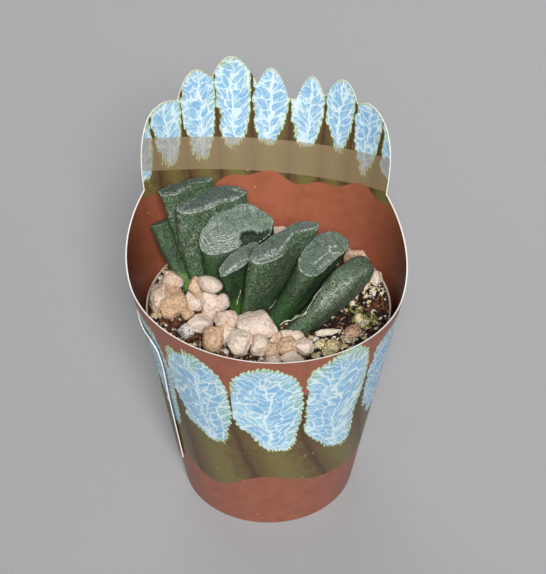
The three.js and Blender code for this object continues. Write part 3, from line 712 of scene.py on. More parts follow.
def leaf_grid(shape, rim):
    """Rings of points from the heel up to the rim and in to the middle of the window. Gives for each
    point how far up the leaf it is, its share of the way out to the rim, and its place across it."""
    tip = np.array(shape["tip"], float)
    base = np.array([*shape["base"], BASE_Z], float)
    middle = (tip + base) / 2 + 2 * np.array([*shape["bend"], 0])
    normal, along, window_wide, window_deep = window_axes(shape)
    half_wide, half_deep = shape["half"]
    foot_wide, foot_deep = shape["foot"]
    angle = turns(LEAF_SIDES)
    c, s = np.cos(angle), np.sin(angle)
    u = np.sign(c) * np.abs(c) ** (2 / ROUNDING)
    v = np.sign(s) * np.abs(s) ** (2 / ROUNDING)
    reach = np.interp(np.degrees(np.arctan2(v, u)), list(rim), list(rim.values()), period=360)
    reach = (np.roll(reach, 1) + 2 * reach + np.roll(reach, -1)) / 4

    def section(centre, wide, deep, w, d, like_rim):
        out = 1 + (reach - 1) * like_rim
        return centre + np.outer(u * out * w, wide) + np.outer(v * out * d, deep)

    heel = mix(np.array([*CROWN, HEEL_Z]), base, 0.8)
    heel[2] = HEEL_Z
    rings = [section(heel, along, np.cross([0, 0, 1], along), 0.7 * half_wide * foot_wide,
                     0.7 * half_deep * foot_deep, 0)]
    level, share = [-0.1], [1.4]
    for t in np.linspace(0, 1, LEAF_RINGS):
        centre = (1 - t) ** 2 * base + 2 * t * (1 - t) * middle + t * t * tip
        tangent = unit((middle - base) * (1 - t) + (tip - middle) * t)
        deep = unit(np.cross(tangent, along))
        wide = np.cross(deep, tangent)
        slant = max(0, (t - 0.55) / 0.45) ** 2
        wide, deep = mix(wide, window_wide, slant), mix(deep, window_deep, slant)
        w = half_wide * mix(foot_wide, 1, math.sin(t * math.pi / 2) ** 0.9)
        d = half_deep * mix(foot_deep, 1, t)
        rings.append(section(centre, wide, deep, w, d, smooth((t - 0.2) / 0.8)))
        level.append(t)
        share.append(1 + (1 - t) * 3)
    for inward in np.linspace(1, 0, WINDOW_RINGS + 1)[1:]:
        rise = shape["dome"] * (1 - inward * inward) ** 0.58
        rings.append(section(tip + normal * rise, window_wide, window_deep, half_wide * inward,
                             half_deep * inward, 1))
        level.append(1)
        share.append(inward)
    grid = np.array(rings)
    across = [((grid - tip) @ way).ravel() for way in (window_wide, window_deep)]
    return grid, np.repeat(level, LEAF_SIDES), np.repeat(share, LEAF_SIDES), *across


def grid_normals(points):
    """Outward normals of a leaf's grid of points."""
    ring = np.roll(points, -1, 1) - np.roll(points, 1, 1)
    out = np.cross(ring, np.gradient(points, axis=0))
    return out / np.maximum(np.linalg.norm(out, axis=-1, keepdims=True), 1e-9)


def leaf_skin():
    net = Net("leaf_skin")
    level, inward, u, v = net.marks("level inward across_u across_v")
    bloom, blunt, crept, young = net.marks("bloom blunt crept young")
    fine = net.noise(4.0, 3, 0.6)
    patchy = net.noise(0.7, 3)
    broad = net.noise(0.16, 2)

    # Sides: deep green, fresher towards the foot, under a frost of pale warts
    side = net.shade(broad, 0.35, 0.65, "112b0a", "1e4217")
    fresh = net.step(net.noise(0.3, 2), 0.48, 0.68) * (1.0 - bloom * 0.6)
    side = net.mix(fresh * 0.6, side, "2c5a20")
    side = net.mix(bloom * 0.55, side, "40593b")
    side = net.mix(net.step(net.noise(1.3, 3, 0.65), 0.54, 0.38) * 0.65, side, "0b1c07")
    foot = net.step(level + (patchy - 0.5) * 0.4, 0.62, young * 0.2 + 0.1) * young
    shoot = net.shade(young, 0.7, 1.0, "275516", "5c962c")
    side = net.mix(foot * 0.9, side, shoot)
    warts, small_warts = (net.step(net.cells(per_mm), 0.36, 0.1) for per_mm in (2.5, 4.0))
    dots = net.math("MAXIMUM", warts, small_warts * 0.8)
    frosted = dots * net.step(patchy + bloom * 0.3, 0.34, 0.62) * (1.0 - foot * 0.8)
    side = net.mix(frosted * (bloom * 0.5 + 0.2), side, "adc0a2")
    side = net.mix(net.step(fine, 0.5, 0.66) * (bloom * 0.5 + 0.16), side, "a8bb9d")

    # Broken pale lines where the skin is dry
    bent = net.vector("ADD", net.place, net.join(patchy * 2.6, fine * 0.9, patchy * -2.2))
    lines = net.step(net.cells(0.95, "DISTANCE_TO_EDGE", at=bent), 0.11, 0.02)
    lines = lines * net.step(net.noise(0.8, 2), 0.5, 0.62) * net.step(bloom, 0.15, 0.8)
    side = net.mix(lines * 0.4, side, "d3dccb")

    # Windows: dull glass, clearer on some leaves, with ripples and pale streaks
    glass = net.shade(patchy, 0.3, 0.7, "4d5d4e", "687965")
    glass = net.mix(net.mark("clear"), glass, "303f36")
    glass = net.mix(net.step(fine, 0.5, 0.62) * 0.45, glass, "b9c5b8")
    from_centre = net.math("SQRT", (u + 2.4) ** 2.0 + (v - 1.8) ** 2.0)
    ripple = net.noise(1.0, 2, at=net.join(u * 0.55, v * 0.55, 3.0)) - 0.5
    wave = net.zigzag(from_centre * 1.75 + ripple * 2.6)
    rippled = net.mark("rippled") * net.step(v * 0.9 + u * 0.45, 1.2, -1.6) * net.step(from_centre, 0.6, 2.6)
    window = net.step(inward + crept, 0.995, 0.965) * (1.0 - blunt * 0.75)
    waves = net.step(wave, 0.65, 0.2) * rippled * window
    waves = waves * net.step(net.noise(1.4, 2), 0.3, 0.6)
    glass = net.mix(waves * 0.55, glass, "dbe3d9")
    skin = net.mix(window, side, glass)
    streaks = net.step(net.noise(2.0, 3, 0.7), 0.45, 0.58)
    skin = net.mix(net.mark("frost") * (streaks * 0.84 + 0.06), skin, "d3dbd2")
    skin = net.mix(net.mark("bitten"), skin, "162a0c")
    rim = net.step(abs(inward - 0.99), 0.04, 0.012)
    rim = rim * net.step(net.noise(1.9, 3, 0.6), 0.38, 0.6) * (1.0 - crept) * (1.0 - blunt)
    skin = net.mix(rim * 0.62, skin, "c9d2c4")

    relief = net.bump(dots, 0.09, net.bump(waves, 0.08))
    relief = net.bump(fine, 0.1, net.bump(lines, 0.06, relief))
    return net.finish(skin, 0.52 - foot * 0.22, relief, Subsurface_Weight=0.06,
                      Subsurface_Scale=0.0015, Specular_IOR_Level=0.45)


# The bite in one leaf's front rim, along and across its window
BITE_ALONG = [-1.9, -0.7, 0.3, 1.1, 3.3, 4.5, 6.6, 7.7]
BITE_ACROSS = [-5.4, -4.3, -2.6, -1.4, -2.0, -2.9, -2.8, -3.4]
BITE_DEPTH = 1.7
# How young each leaf is, how clear its window is, its bloom, and how blunt its rim is
SKINS = {
    "leaf_1": (1.0, 0.6, 0.25, 0.7), "leaf_2": (0.75, 0.85, 0.5, 0), "leaf_3": (0.35, 0.75, 0.65, 0),
    "leaf_4": (0.35, 0, 0.05, 0), "leaf_5": (0.9, 0.35, 0.05, 0), "leaf_6": (0.2, 0.5, 0.65, 0),
    "leaf_7": (0.36, 0.3, 0.15, 0), "leaf_8": (0, 0.5, 1.05, 1.0),
}

# Pale streaks on the windows: points along and across, half width, strength
STREAKS = {
    "leaf_2": [([(-5.8, -0.6), (-4, -1.9), (0.4, -1.1)], 0.3, 0.9),
               ([(0.9, 0.1), (5.3, -1.5)], 0.22, 0.8), ([(5.2, -1.2), (5.8, -0.6)], 0.45, 0.9)],
    "leaf_3": [([(-8.3, -1), (-5, -2), (0.3, -1.6), (5.4, -2.3)], 0.5, 0.8),
               ([(7.8, -1), (6.8, 0.8)], 0.5, 0.7), ([(-8.6, 0.3), (-3.9, 1.8)], 0.3, 0.5)],
    "leaf_4": [([(2.9, 3.9), (4.8, 3.4), (6, 2.2)], 0.5, 0.5), ([(-4, 3), (-2.6, 2.8)], 0.8, 0.4)],
    "leaf_5": [([(-5.7, -0.4), (-1.3, -0.8), (1.8, -1.2)], 0.42, 0.9)],
    "leaf_6": [([(-10.4, -0.4), (-8, -1.1), (-5.4, -1.5)], 0.8, 0.85),
               ([(-7.3, -0.5), (-4.3, -0.9)], 0.45, 0.7),
               ([(-5, -1.7), (-0.4, -0.6), (2.7, 0.2), (8.6, -1.7)], 0.26, 0.9)],
    "leaf_7": [([(3.4, -0.7), (2.3, 0), (1.4, -0.6), (1.4, -1.4), (2, -1.9)], 0.24, 1.3),
               ([(-4.5, -0.3), (0.4, -0.5), (1.3, -1)], 0.14, 1.1), ([(-3.6, -1.9), (2.6, -2.3)], 0.4, 0.5)],
    "leaf_8": [([(-8.8, -2.1), (-6.4, -2.3), (-3.8, -2)], 0.95, 0.66), ([(-3.4, -2), (2, -1.5)], 0.45, 0.4)],
}
# Where the green side creeps up over a window: the window's front edge, along and across
CREEPS = {
    "leaf_2": ([-7, -3.9, -1.9, 0.8, 1.6, 6, 7], [-1.2, -2.8, -2.0, -0.4, 0.3, -0.8, -1.1]),
    "leaf_3": ([-8.5, -6.5, -3.5, -0.6, 0.8, 2.4, 4.7, 7], [-1.8, -2.7, -2.4, -2, -1.4, -1.7, -2.4, -3.3]),
    "leaf_6": ([-8.6, -6.6, -3.5, 0, 2.7, 4.3, 8.5, 10], [-3.2, -3.1, -2.4, -0.7, 0.1, -0.4, -2.4, -2.8]),
}


def streak_marks(name, u, v):
    strength = np.zeros(len(u))
    for line, width, most in STREAKS.get(name, []):
        for (u0, v0), (u1, v1) in zip(line, line[1:]):
            run_u, run_v = u1 - u0, v1 - v0
            share = np.clip(((u - u0) * run_u + (v - v0) * run_v) / (run_u**2 + run_v**2), 0, 1)
            away = np.hypot(u - u0 - share * run_u, v - v0 - share * run_v)
            strength = np.maximum(strength, most * np.exp(-(away / width) ** 2))
    return strength


def leaf_relief(points, level, inward, index, blunt, domed):
    """How far each point is raised along its normal, and how far along the window's normal."""
    body = sum(lumps(points, size, index + seed) * height for size, seed, height in LEAF_LUMPS)
    warts = np.maximum(0, lumps(points, 0.55, index + 80)) * 0.09
    on_window = smooth((1.02 - inward) / BLEND)
    relief = body * (1 - 0.4 * on_window) + warts * (1 - 0.5 * on_window)
    rim = np.exp(-((inward - 1.0) / 0.05) ** 2) * (1 - blunt)
    relief = relief + rim * (0.08 + 0.34 * np.maximum(0, lumps(points, 0.6, index + 7)))
    hollow = 0 if domed else -0.22 * smooth((1 - inward) / 0.25)
    return relief * (1 - np.exp(-8 * (level + 0.1))), np.where(on_window > 0.5, hollow, 0)


def make_leaf(name, index):
    shape = LEAVES[name]
    young, clear, bloom, blunt = SKINS[name]
    domed = shape["dome"] > 1  # a leaf with a rounded end, not a sunken window
    grid, level, inward, u, v = leaf_grid(shape, RIMS[name])
    out = grid_normals(grid)
    normal = window_axes(shape)[0]
    out[-1] = normal
    points = grid.reshape(-1, 3)
    relief, hollow = leaf_relief(points, level, inward, index, blunt, domed)
    points = points + out.reshape(-1, 3) * relief[:, None] + normal * hollow[:, None]
    high_up = smooth((level - 0.84) / BLEND)
    topped = smooth((1.08 - inward) / BLEND)
    bitten, crept = np.zeros(len(points)), np.zeros(len(points))
    if name == BITTEN_LEAF:
        ragged = 0.45 * grain(np.stack([u, v, 0 * u], 1), 1.1, 5)
        within = np.interp(u, BITE_ALONG, BITE_ACROSS) - v + ragged
        within = np.where((u > BITE_ALONG[0]) & (u < BITE_ALONG[-1]), within, -1)
        points = points - normal * (BITE_DEPTH * smooth(within / 0.5) * high_up)[:, None]
        bitten = smooth(within / 0.25) * high_up
    if name in CREEPS:
        crept = smooth((np.interp(u, *CREEPS[name]) - v) / 0.3) * high_up
    marks = dict(level=level, inward=inward, across_u=u, across_v=v, bitten=bitten, crept=crept,
                 bloom=bloom * (0.35 + 0.65 * smooth(level / 0.8)),
                 frost=streak_marks(name, u, v) * (1 if domed else high_up * topped))
    even = dict(young=young, clear=clear, blunt=blunt, rippled=name == BITTEN_LEAF)
    marks.update({key: np.full(len(points), float(value)) for key, value in even.items()})
    return points, tube_faces(len(grid), LEAF_SIDES)[:-1], marks


def nearest(tree, place):
    """The nearest place on a surface, the way out there, and how deep under it this place lies."""
    near, out, _, _ = tree.find_nearest(Vector(place))
    return near, out, (near - Vector(place)).dot(out)


def clear_of(points, others, margin):
    """Moves the points that lie in one of the other surfaces out to its skin."""
    for tree, low, high in others:
        for n in np.where(np.all((points > low) & (points < high), axis=1))[0]:
            near, out, deep = nearest(tree, points[n])
            if deep > 0:
                points[n] = near + out * margin
    return points


LEAF_MARGIN, OFF_LEAF = 0.12, 0.1  # between two leaves, and from a leaf to what lies on the soil
LEAF_LOOK = leaf_skin()
leaf_trees = []
for number in FROM_INSIDE:
    name = f"leaf_{number}"
    points, faces, marks = make_leaf(name, number)
    points = clear_of(points, leaf_trees, LEAF_MARGIN)
    tree = BVHTree.FromPolygons(points.tolist(), faces)
    leaf_trees.append((tree, points.min(0), points.max(0)))
    made = piece(f"haworthia_{name}", points, faces, [LEAF_LOOK], "leaf", [name], marks=marks)
    welded = bmesh.new()
    welded.from_mesh(made.data)
    bmesh.ops.remove_doubles(welded, verts=welded.verts, dist=1e-6)
    welded.to_mesh(made.data)
    welded.free()


# Soil

def soil_height(x, y):
    swell = 0.5 * np.sin(0.31 * x + 1.1) * np.cos(0.27 * y - 0.4)
    clods = 0.35 * np.sin(0.9 * x + 0.5 * y) * np.sin(0.8 * y - 0.3 * x + 1)
    return SOIL_Z + swell + clods


BANK, BANK_FROM, BANK_WIDE = 2.5, 18.5, 7  # the soil rises towards the pot's wall


def bed_height(x, y):
    x, y = np.asarray(x, float), np.asarray(y, float)
    at = np.stack(np.broadcast_arrays(x, y, 0 * x), -1).reshape(-1, 3)
    crumbs = 0.32 * lumps(at, 2.1, 11) + 0.2 * lumps(at, 0.9, 12) + 0.1 * lumps(at, 0.45, 13)
    bank = BANK * smooth((np.hypot(x, y) - BANK_FROM) / BANK_WIDE)
    return soil_height(x, y) + bank + crumbs.reshape(x.shape)


def make_bed(around=300, rings=100, low_rings=4, margin=0.02):
    radii = np.linspace(0.15, POT_BORE - margin, rings)[::-1, None]
    x, y = radii * np.cos(turns(around)), radii * np.sin(turns(around))
    top = np.stack([x, y, bed_height(x, y)], -1).reshape(-1, 3)
    wall = [np.c_[circle(pot_wall_radius(z) - POT_WALL - margin, around), np.full(around, z)]
            for z in np.linspace(POT_FLOOR + GAP, LIP_Z, low_rings)]
    return np.concatenate([*wall, top]), tube_faces(low_rings + rings, around)


def soil_look():
    net = Net("soil_mix")
    crumb = net.cells(1.6)
    fine = net.noise(2.6, 4, 0.65)
    broad = net.noise(0.25, 2)
    tint = net.shade(fine, 0.35, 0.7, "1c110b", "5b3a26")
    tint = net.mix(net.step(broad, 0.4, 0.7) * 0.6, tint, "6b3c22")
    pale = net.step(crumb, 0.16, 0.05) * net.step(net.noise(0.9, 1), 0.5, 0.58)
    tint = net.mix(pale, tint, "c9b9a4")
    relief = net.bump(fine, 0.5, net.bump(crumb, 0.3))
    return net.finish(tint, 0.92, relief, Specular_IOR_Level=0.25)


piece("soil_bed", *make_bed(), [soil_look()], "soil", ["soil"])


def root_look():
    net = Net("root_skin")
    streak = net.noise(1.2, 3, at=net.vector("MULTIPLY", net.place, (3.0, 3.0, 0.6)))
    tint = net.shade(streak, 0.35, 0.65, "c8a878", "8f6a42")
    return net.finish(tint, 0.8, net.bump(streak, 0.2))


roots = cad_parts["stem_and_roots"]
roots.data.materials.clear()
roots.data.materials.append(root_look())


class Pile:
    """Many small bodies gathered into one mesh."""

    def __init__(self):
        self.points, self.faces, self.marks, self.count = [], [], {}, 0

    def add(self, points, faces, **marks):
        self.points.append(np.asarray(points))
        self.faces += [[self.count + int(i) for i in face] for face in faces]
        for key, value in marks.items():
            self.marks.setdefault(key, []).append(np.broadcast_to(value, len(points)).astype(float))
        self.count += len(points)

    def make(self, name, look, slot, nodes=(), settled=True):
        points = np.concatenate(self.points)
        marks = {key: np.concatenate(parts) for key, parts in self.marks.items()}
        points = settle(points) if settled else points
        piece(name, points, self.faces, [look], slot, nodes, marks=marks)


def ball(subdivisions):
    made = bmesh.new()
    bmesh.ops.create_icosphere(made, subdivisions=subdivisions, radius=1)
    points = np.array([v.co[:] for v in made.verts])
    faces = np.array([[v.index for v in f.verts] for f in made.faces])
    made.free()
    return points, faces


BALLS = {n: ball(n) for n in (1, 2, 4, 5)}


def chunk(rng, detail, facets=12, crisp=24, rough=0.06, seed=0):
    """A stone 2 across each way: a ball cut by planes, with worn edges and a grainy skin."""
    points, faces = BALLS[detail]
    normals = unit(np.array([[rng.gauss(0, 1) for _ in range(3)] for _ in range(facets)]))
    depth = np.array([rng.uniform(0.7, 1.0) for _ in range(facets)])
    reach = np.maximum(points @ normals.T, 1e-3) / depth
    reach = np.concatenate([reach, np.full((len(points), 1), 0.88)], 1)
    radius = np.sum(reach**crisp, 1) ** (-1 / crisp)
    radius *= 1 + 0.07 * lumps(points, 0.8, seed) + rough * grain(points, 0.3, seed + 5)
    stone = points * radius[:, None]
    return 2 * stone / np.ptp(stone, axis=0), faces


def turned(points, size, turn, tilt):
    spin = Matrix.Rotation(math.radians(turn), 3, "Z")
    for angle, axis in zip(tilt, "XY"):
        spin = spin @ Matrix.Rotation(angle, 3, axis)
    return (points * np.array(size)) @ np.array(spin).T


def tilt_within(rng, most):
    return rng.uniform(-most, most), rng.uniform(-most, most)


POT_CLEAR, SLEEVE_CLEAR = 0.05, 0.9  # inside the pot's bore and inside the sleeve's outer face


def settle(points):
    """Keeps points inside the pot and the sleeve, and out of the leaves."""
    z = points[:, 2]
    sleeve_r = SLEEVE_FOOT_R + SLEEVE_FLARE * z
    inner = np.where(z < POT_Z + GAP, pot_inside(z) - POT_CLEAR, sleeve_r - SLEEVE_CLEAR)
    radius = np.hypot(points[:, 0], points[:, 1])
    points[:, :2] *= np.minimum(1, inner / np.maximum(radius, 1e-6))[:, None]
    return clear_of(points, leaf_trees, OFF_LEAF)


def stone_look(name, pale, gold, stain, speckle=0.0):
    net = Net(name)
    tint = net.mark("tint")
    broad = net.noise(0.5, 3)
    fine = net.noise(3.4, 4, 0.65)
    golden = net.step(tint * 0.9 + (broad - 0.5) * 1.1, 0.2, 0.85)
    skin = net.mix(golden, pale, gold)
    skin = net.mix(net.step(fine, 0.46, 0.66) * (golden * 0.25 + 0.25), skin, stain)
    skin = net.mix(net.step(net.noise(1.9, 4, 0.7), 0.5, 0.6) * (golden * 0.35 + 0.36), skin, stain)
    skin = net.mix(net.step(net.noise(2.6, 3), 0.58, 0.7) * 0.6, skin, "fdf1e7")
    pores = net.step(net.cells(1.7), 0.19, 0.07) * net.step(net.noise(0.8, 2) + tint * 0.08, 0.44, 0.56)
    skin = net.mix(pores * (tint * 0.4 + 0.5), skin, "4f321f")
    if speckle:
        skin = net.mix(net.step(net.noise(1.7, 2), 0.55, 0.62) * speckle, skin, "3c3531")
    relief = net.bump(fine, 0.34, net.bump(pores, -0.6, net.bump(broad, 0.5)))
    return net.finish(skin, net.step(fine, 0.3, 0.7, to=(0.75, 0.95)), relief, Specular_IOR_Level=0.3)


GRAVEL_LOOK = stone_look("gravel_stone", "eedbca", "dbb794", "9d785a")
GREY_LOOK = stone_look("grey_stone", "e2dad3", "b8aca2", "8d8279", 0.7)


def shoved(body, way, rounds=12, allowed=0.25):
    """The body moved this way until hardly anything of it is in a leaf."""
    for _ in range(rounds):
        push = clear_of(body.copy(), leaf_trees, OFF_LEAF) - body
        far = np.linalg.norm(push, axis=1).max()
        if far < allowed:
            break
        body = body + 0.5 * far * way
    return body


FORWARD = np.array([0.0, -1.0, 0.0])


def put_stone(pile, row, rng, detail, seed, way=FORWARD, **shape):
    x, y, length, width, height, turn, lift, tint = row
    points, faces = chunk(rng, detail, seed=seed, **shape)
    tilt = tilt_within(rng, STONE_TILT)
    size = np.array([length, width, height]) * STONE_SWELL / 2
    centre = np.array([x, y, soil_height(x, y) + GAP + STONE_SEAT * height + lift])
    pile.add(shoved(turned(points, size, turn, tilt) + centre, way), faces, tint=tint)


rng = random.Random(7)
for name, rows in STONES.items():
    pile = Pile()
    way = -FORWARD if name in ("gravel_rear", "gravel_back") else FORWARD
    for k, row in enumerate(rows):
        shape = dict(crisp=2, rough=0.012) if row is EGG else {}
        put_stone(pile, row, rng, 5, 10 * k + len(name), way, **shape)
    look, slot = (GREY_LOOK, "grey_gravel") if name == "gravel_grey" else (GRAVEL_LOOK, "gravel")
    pile.make("stones_" + name.split("_")[1], look, slot, [name])


# Crumbs, fibres, moss and chips on the soil

DARK, RUSTY, PALE, STRAW = CRUMB_TINTS = (0.1, 0.3, 0.6, 0.9)

# The share of the crumbs up to each tint, at the left, at the right and in a few spots
LEFT_SHARES = (0.14, 0.6, 0.86, 1.0)
RIGHT_FROM, RIGHT_SHARES = 8, (0.46, 0.54, 0.86, 1.0)
DARK_SHARES, RED_SHARES = (0.84, 0.94, 0.97, 1.0), (0.36, 0.86, 0.95, 1.0)
SPOTS = [(13.8, -4.8, 2.5, DARK_SHARES), (16.2, -2.2, 2.5, DARK_SHARES), (18, -0.8, 1.8, DARK_SHARES),
         (24.4, -1, 2.6, RED_SHARES)]  # x, y, reach, shares


def crumb_tint(x, y, draw):
    """The tint that this draw from 0 to 1 gives a crumb at this place."""
    shares = RIGHT_SHARES if x > RIGHT_FROM else LEFT_SHARES
    for spot_x, spot_y, reach, in_spot in reversed(SPOTS):
        if math.hypot(x - spot_x, y - spot_y) < reach:
            shares = in_spot
    return next(tint for share, tint in zip(shares, CRUMB_TINTS) if draw <= share)


def crumb_look():
    net = Net("soil_crumb")
    tint = net.mark("tint")
    fine = net.noise(3.2, 4, 0.6)
    skin = net.shade(fine, 0.35, 0.7, "0d0705", "38231a")
    tones = ((0.2, "3f2315", "87553a"), (0.45, "a89984", "fffaf0"), (0.75, "a48e54", "fff5d0"))
    for start, low, high in tones:
        skin = net.mix(net.math("GREATER_THAN", tint, start), skin, net.shade(fine, 0.35, 0.7, low, high))
    skin = net.mix(net.step(net.noise(0.9, 2), 0.5, 0.35) * 0.4, skin, "20140d")
    return net.finish(skin, 0.88, net.bump(fine, 0.25), Specular_IOR_Level=0.3)


CRUMB_LOOK = crumb_look()


def in_leaf(place):
    return any(np.all(place > low) and np.all(place < high) and nearest(tree, place)[2] > 0
               for tree, low, high in leaf_trees)


def in_disc(rng, reach, x=0.0, y=0.0):
    """A random place no further than this from x, y."""
    out, turn = reach * math.sqrt(rng.random()), rng.uniform(0, 2 * math.pi)
    return x + out * math.cos(turn), y + out * math.sin(turn)


def random_place(rng, reach):
    """A random place on the soil, outside the leaves."""
    while True:
        x, y = in_disc(rng, reach)
        place = np.array([x, y, float(bed_height(x, y))])
        if not in_leaf(place):
            return place


def scatter(name, count, detail, sizes, seed):
    rng = random.Random(seed)
    shapes = [chunk(rng, detail, facets=7, crisp=8, rough=0.12, seed=k) for k in range(24)]
    pile = Pile()
    for _ in range(count):
        size = sizes[0] * (sizes[1] / sizes[0]) ** (rng.random() ** 1.6)
        place = random_place(rng, POT_BORE - size)
        points, faces = rng.choice(shapes)
        stretch = size * np.array([rng.uniform(0.8, 1.4), rng.uniform(0.7, 1.1), rng.uniform(0.6, 1)])
        body = turned(points, stretch, rng.uniform(0, 360), tilt_within(rng, 0.6))
        tint = crumb_tint(place[0], place[1], rng.random())
        pile.add(body + place + np.array([0, 0, 0.35 * size]), faces, tint=tint)
    pile.make(name, CRUMB_LOOK, "soil", settled=False)


scatter("soil_grains", 5600, 1, (0.16, 0.42), 21)
scatter("soil_crumbs", 1700, 2, (0.36, 0.85), 22)


def tube(path, radii, sides=4):
    """A thin closed tube along a path."""
    path, radii = np.asarray(path, float), np.asarray(radii, float)
    run = unit(np.gradient(path, axis=0))
    side = unit(np.cross(run, [0.1, 0.2, 1.0]))
    rise = np.cross(side, run)
    turn = turns(sides)[:, None]
    ring = side[:, None] * np.cos(turn) + rise[:, None] * np.sin(turn)
    points = (path[:, None] + ring * radii[:, None, None]).reshape(-1, 3)
    return points, tube_faces(len(path), sides)


# Thin dry skin along some of the leaves' edges: points near the leaves, half width
MARGINS = [
    ([(2.4, -5.6, 48.3), (4.4, -5, 49.2), (6.4, -5.9, 51), (8.1, -6.9, 52.6), (8.5, -6.4, 53.1)], 0.15),
    ([(8.5, -6.3, 53.2), (9.3, -5.3, 54.2), (10.6, -4.1, 55.8), (12.3, -3.7, 57.9)], 0.06),
    ([(-6.9, -3.7, 52.3), (-6.6, -3.6, 53.5), (-6.2, -3.3, 54.3), (-5.8, -2.9, 56)], 0.07),
    ([(0, -0.4, 48.7), (0.8, 0.3, 49.2), (1.9, 1.4, 49.8)], 0.09),
]


def over_leaves(place, height=0.08):
    """The place just over the nearest leaf's skin."""
    found = [tree.find_nearest(Vector(place)) for tree, _, _ in leaf_trees]
    near, out, _, _ = min(found, key=lambda hit: hit[3])
    return np.array(near) + np.array(out) * height


def dry_skin():
    net = Net("dry_skin")
    fine = net.noise(3.0, 3)
    tint = net.shade(fine, 0.35, 0.65, "f4ecdb", "d5c4a2")
    return net.finish(tint, 0.6, net.bump(fine, 0.08))


def margins(steps=24):
    pile = Pile()
    for line, half in MARGINS:
        away = np.cumsum([0] + [np.linalg.norm(np.subtract(b, a)) for a, b in zip(line, line[1:])])
        path = np.array([over_leaves([np.interp(s, away, axis) for axis in zip(*line)])
                         for s in np.linspace(0, away[-1], steps)])
        for _ in range(4):
            path[1:-1] = (path[:-2] + 2 * path[1:-1] + path[2:]) / 4
        wide = half * (0.75 + 0.5 * lumps(path, 0.7, 3)) * np.r_[0.3, np.ones(steps - 2), 0.3]
        pile.add(*tube(path, wide, 6))
    pile.make("dry_margins", dry_skin(), "leaf", settled=False)


margins()


def fibre(rng, place, length):
    """A bent fibre that lies on the soil with its ends up."""
    turn, bend = rng.uniform(0, 2 * math.pi), rng.uniform(-1.2, 1.2)
    lift = rng.uniform(0.2, 1.0)
    share = np.linspace(-0.5, 0.5, 9)
    way = turn + bend * share
    x = place[0] + length * share * np.cos(way)
    y = place[1] + length * share * np.sin(way)
    z = place[2] + 0.25 + lift * length * 0.2 * share**2 * 4 * rng.uniform(0.2, 1)
    return np.stack([x, y, z], 1)


def fibres(count=420, reach=23):
    rng = random.Random(31)
    pile = Pile()
    for _ in range(count):
        length = rng.uniform(1.2, 5)
        path = fibre(rng, random_place(rng, reach), length)
        thick = rng.uniform(0.04, 0.11)
        points, faces = tube(path, thick * (1 - 0.8 * np.abs(np.linspace(-1, 1, len(path))) ** 3))
        pile.add(points, faces, tint=rng.choice([DARK, RUSTY, RUSTY, RUSTY, PALE, STRAW]))
    pile.make("coir_fibres", CRUMB_LOOK, "soil")


fibres()


def moss_look():
    net = Net("moss_leaf")
    fine = net.noise(2.2, 3)
    tint = net.mix(net.mark("tint"), "4d5a1c", "a9a44a")
    tint = net.mix(net.step(fine, 0.4, 0.7) * 0.5, tint, "c9c386")
    return net.finish(tint, 0.7, net.bump(fine, 0.1), Subsurface_Weight=0.1, Subsurface_Scale=0.0008)


MOSS = [(19.9, -1.3, 2.2), (22.2, -4.7, 2), (18.4, 1.8, 1.5), (16.2, -12.6, 1.2)]  # x, y, radius


def moss(leaves_per_mm=60):
    rng = random.Random(41)
    pile = Pile()
    for x, y, radius in MOSS:
        for _ in range(int(leaves_per_mm * radius)):
            root = np.array([*in_disc(rng, radius, x, y), 0])
            root[2] = bed_height(root[0], root[1]) - 0.1
            lean = np.array([rng.gauss(0, 0.5), rng.gauss(0, 0.5), 1.1])
            length = rng.uniform(0.6, 1.3)
            curl = np.array([rng.gauss(0, 0.35), rng.gauss(0, 0.35), -0.15])
            path = [root, root + 0.5 * length * unit(lean), root + length * unit(lean + curl)]
            pile.add(*tube(path, [0.13, 0.2, 0.03], 3), tint=rng.random())
    pile.make("moss_tufts", moss_look(), "soil")


moss()

# Straw yellow clods: x, y, size, height of the middle over the soil
CLODS = [(14.2, -12.4, 3.8, 1.0), (11.3, -11.6, 2.8, 0.7), (16.6, -13.2, 2.6, 0.5), (13.2, -15.4, 3.0, 0.6),
         (10.4, -14.6, 2.2, 0.4), (20.2, -3.2, 2.4, 0.5), (16.6, 3.6, 2.6, 0.4), (17, -9.9, 2.2, 0.5)]


def clods():
    rng = random.Random(51)
    pile = Pile()
    for k, (x, y, size, lift) in enumerate(CLODS):
        points, faces = chunk(rng, 4, facets=9, crisp=7, rough=0.16, seed=70 + k)
        centre = np.array([x, y, float(bed_height(x, y)) + lift])
        pile.add(points * size / 2 + centre, faces, tint=STRAW)
    pile.make("straw_clods", CRUMB_LOOK, "soil")


clods()


def wood_look(name, dark, light, streaks):
    net = Net(name)
    streak = net.noise(1.6, 4, 0.65, at=net.vector("MULTIPLY", net.place, streaks))
    fine = net.noise(5.0, 3)
    tint = net.shade(streak, 0.35, 0.65, dark, light)
    tint = net.mix(net.step(fine, 0.55, 0.7) * 0.4, tint, "3a2416")
    return net.finish(tint, 0.85, net.bump(fine, 0.1, net.bump(streak, 0.35)))


def chip(name, row, look, slot, node, **shape):
    pile = Pile()
    put_stone(pile, row, random.Random(61), 4, 5, facets=9, **shape)
    pile.make(name, look, slot, [node])


BARK_LOOK = wood_look("bark", "7c563e", "e0bda2", (0.8, 2.6, 2.6))
SPLIT_LOOK = wood_look("split_wood", "dccfae", "fbf5e2", (0.6, 4.0, 4.0))
chip("bark_flake", BARK_CHIP, BARK_LOOK, "bark", "bark_chip", crisp=14, rough=0.1)
chip("pale_sliver", WOOD_SLIVER, SPLIT_LOOK, "pale_wood", "wood_sliver", crisp=24, rough=0.2)


# Light, floor and camera, in metres but for the camera's place and target

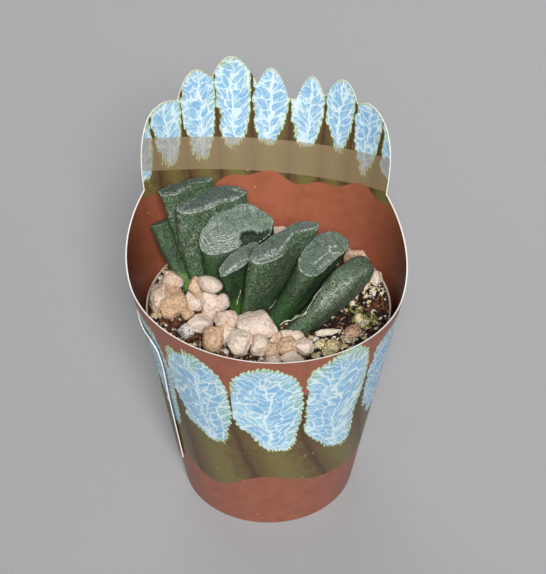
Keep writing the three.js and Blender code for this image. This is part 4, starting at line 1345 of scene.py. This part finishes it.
FLOOR_HALF, FLOOR_Z = 3.0, -0.0002
WORLD_LIGHT = 0.09
LIT = (0, 0, 0.05)  # what the lamps point at


def floor_look():
    net = Net("floor_paper")
    right, far, _ = net.split(net.place)
    # Painted light: the floor grows paler towards the back and the right, as if more light fell there, with
    # a soft wobble
    painted_floor_light = far + right + net.noise(0.004, 2) * 80.0
    tint = net.shade(painted_floor_light, -300.0, 420.0, "9e9e9f", "b1b1b3")
    return net.finish(tint, 0.75, net.bump(net.noise(1.5, 3), 0.02), Specular_IOR_Level=0.2)


floor_mesh = bpy.data.meshes.new("floor")
floor_corners = [(-1, -1), (1, -1), (1, 1), (-1, 1)]
floor_points = [(FLOOR_HALF * x, FLOOR_HALF * y, FLOOR_Z) for x, y in floor_corners]
floor_mesh.from_pydata(floor_points, [], [(0, 1, 2, 3)])
floor_mesh.materials.append(floor_look())
floor = link("floor", floor_mesh)

world = bpy.data.worlds.new("studio")
bpy.context.scene.world = world
world.use_nodes = True
sky = world.node_tree.nodes["Background"].inputs
sky["Color"].default_value = (1, 1, 1, 1)
sky["Strength"].default_value = WORLD_LIGHT


def point(made, place, target):
    """Turns a lamp or a camera at this place to its target."""
    made.rotation_euler = (Vector(target) - Vector(place)).to_track_quat("-Z", "Y").to_euler()


def area_light(name, place, size, watts):
    lamp = bpy.data.lights.new(name, "AREA")
    lamp.shape = "RECTANGLE"
    lamp.size = lamp.size_y = size
    lamp.energy = watts
    made = link(name, lamp)
    made.location = place
    point(made, place, LIT)


area_light("soft_key", (0.3, -3.2, 2.8), 1.3, 232)
area_light("soft_back", (-0.8, 2.8, 1.6), 2.4, 36)

CAMERA = (1.02, -308.83, 308.92)
TARGET = (1.02, 0, 54.7)
FOCAL_PX, IMAGE_LONG_PX, SENSOR = 1795.6, 574, 36
eye = bpy.data.cameras.new("camera")
eye.sensor_width = SENSOR
eye.lens = FOCAL_PX / IMAGE_LONG_PX * SENSOR
camera = link("camera", eye)
camera.location = Vector(CAMERA) * MM
point(camera, CAMERA, TARGET)
bpy.context.scene.camera = camera
bpy.context.scene.view_settings.view_transform = "Standard"
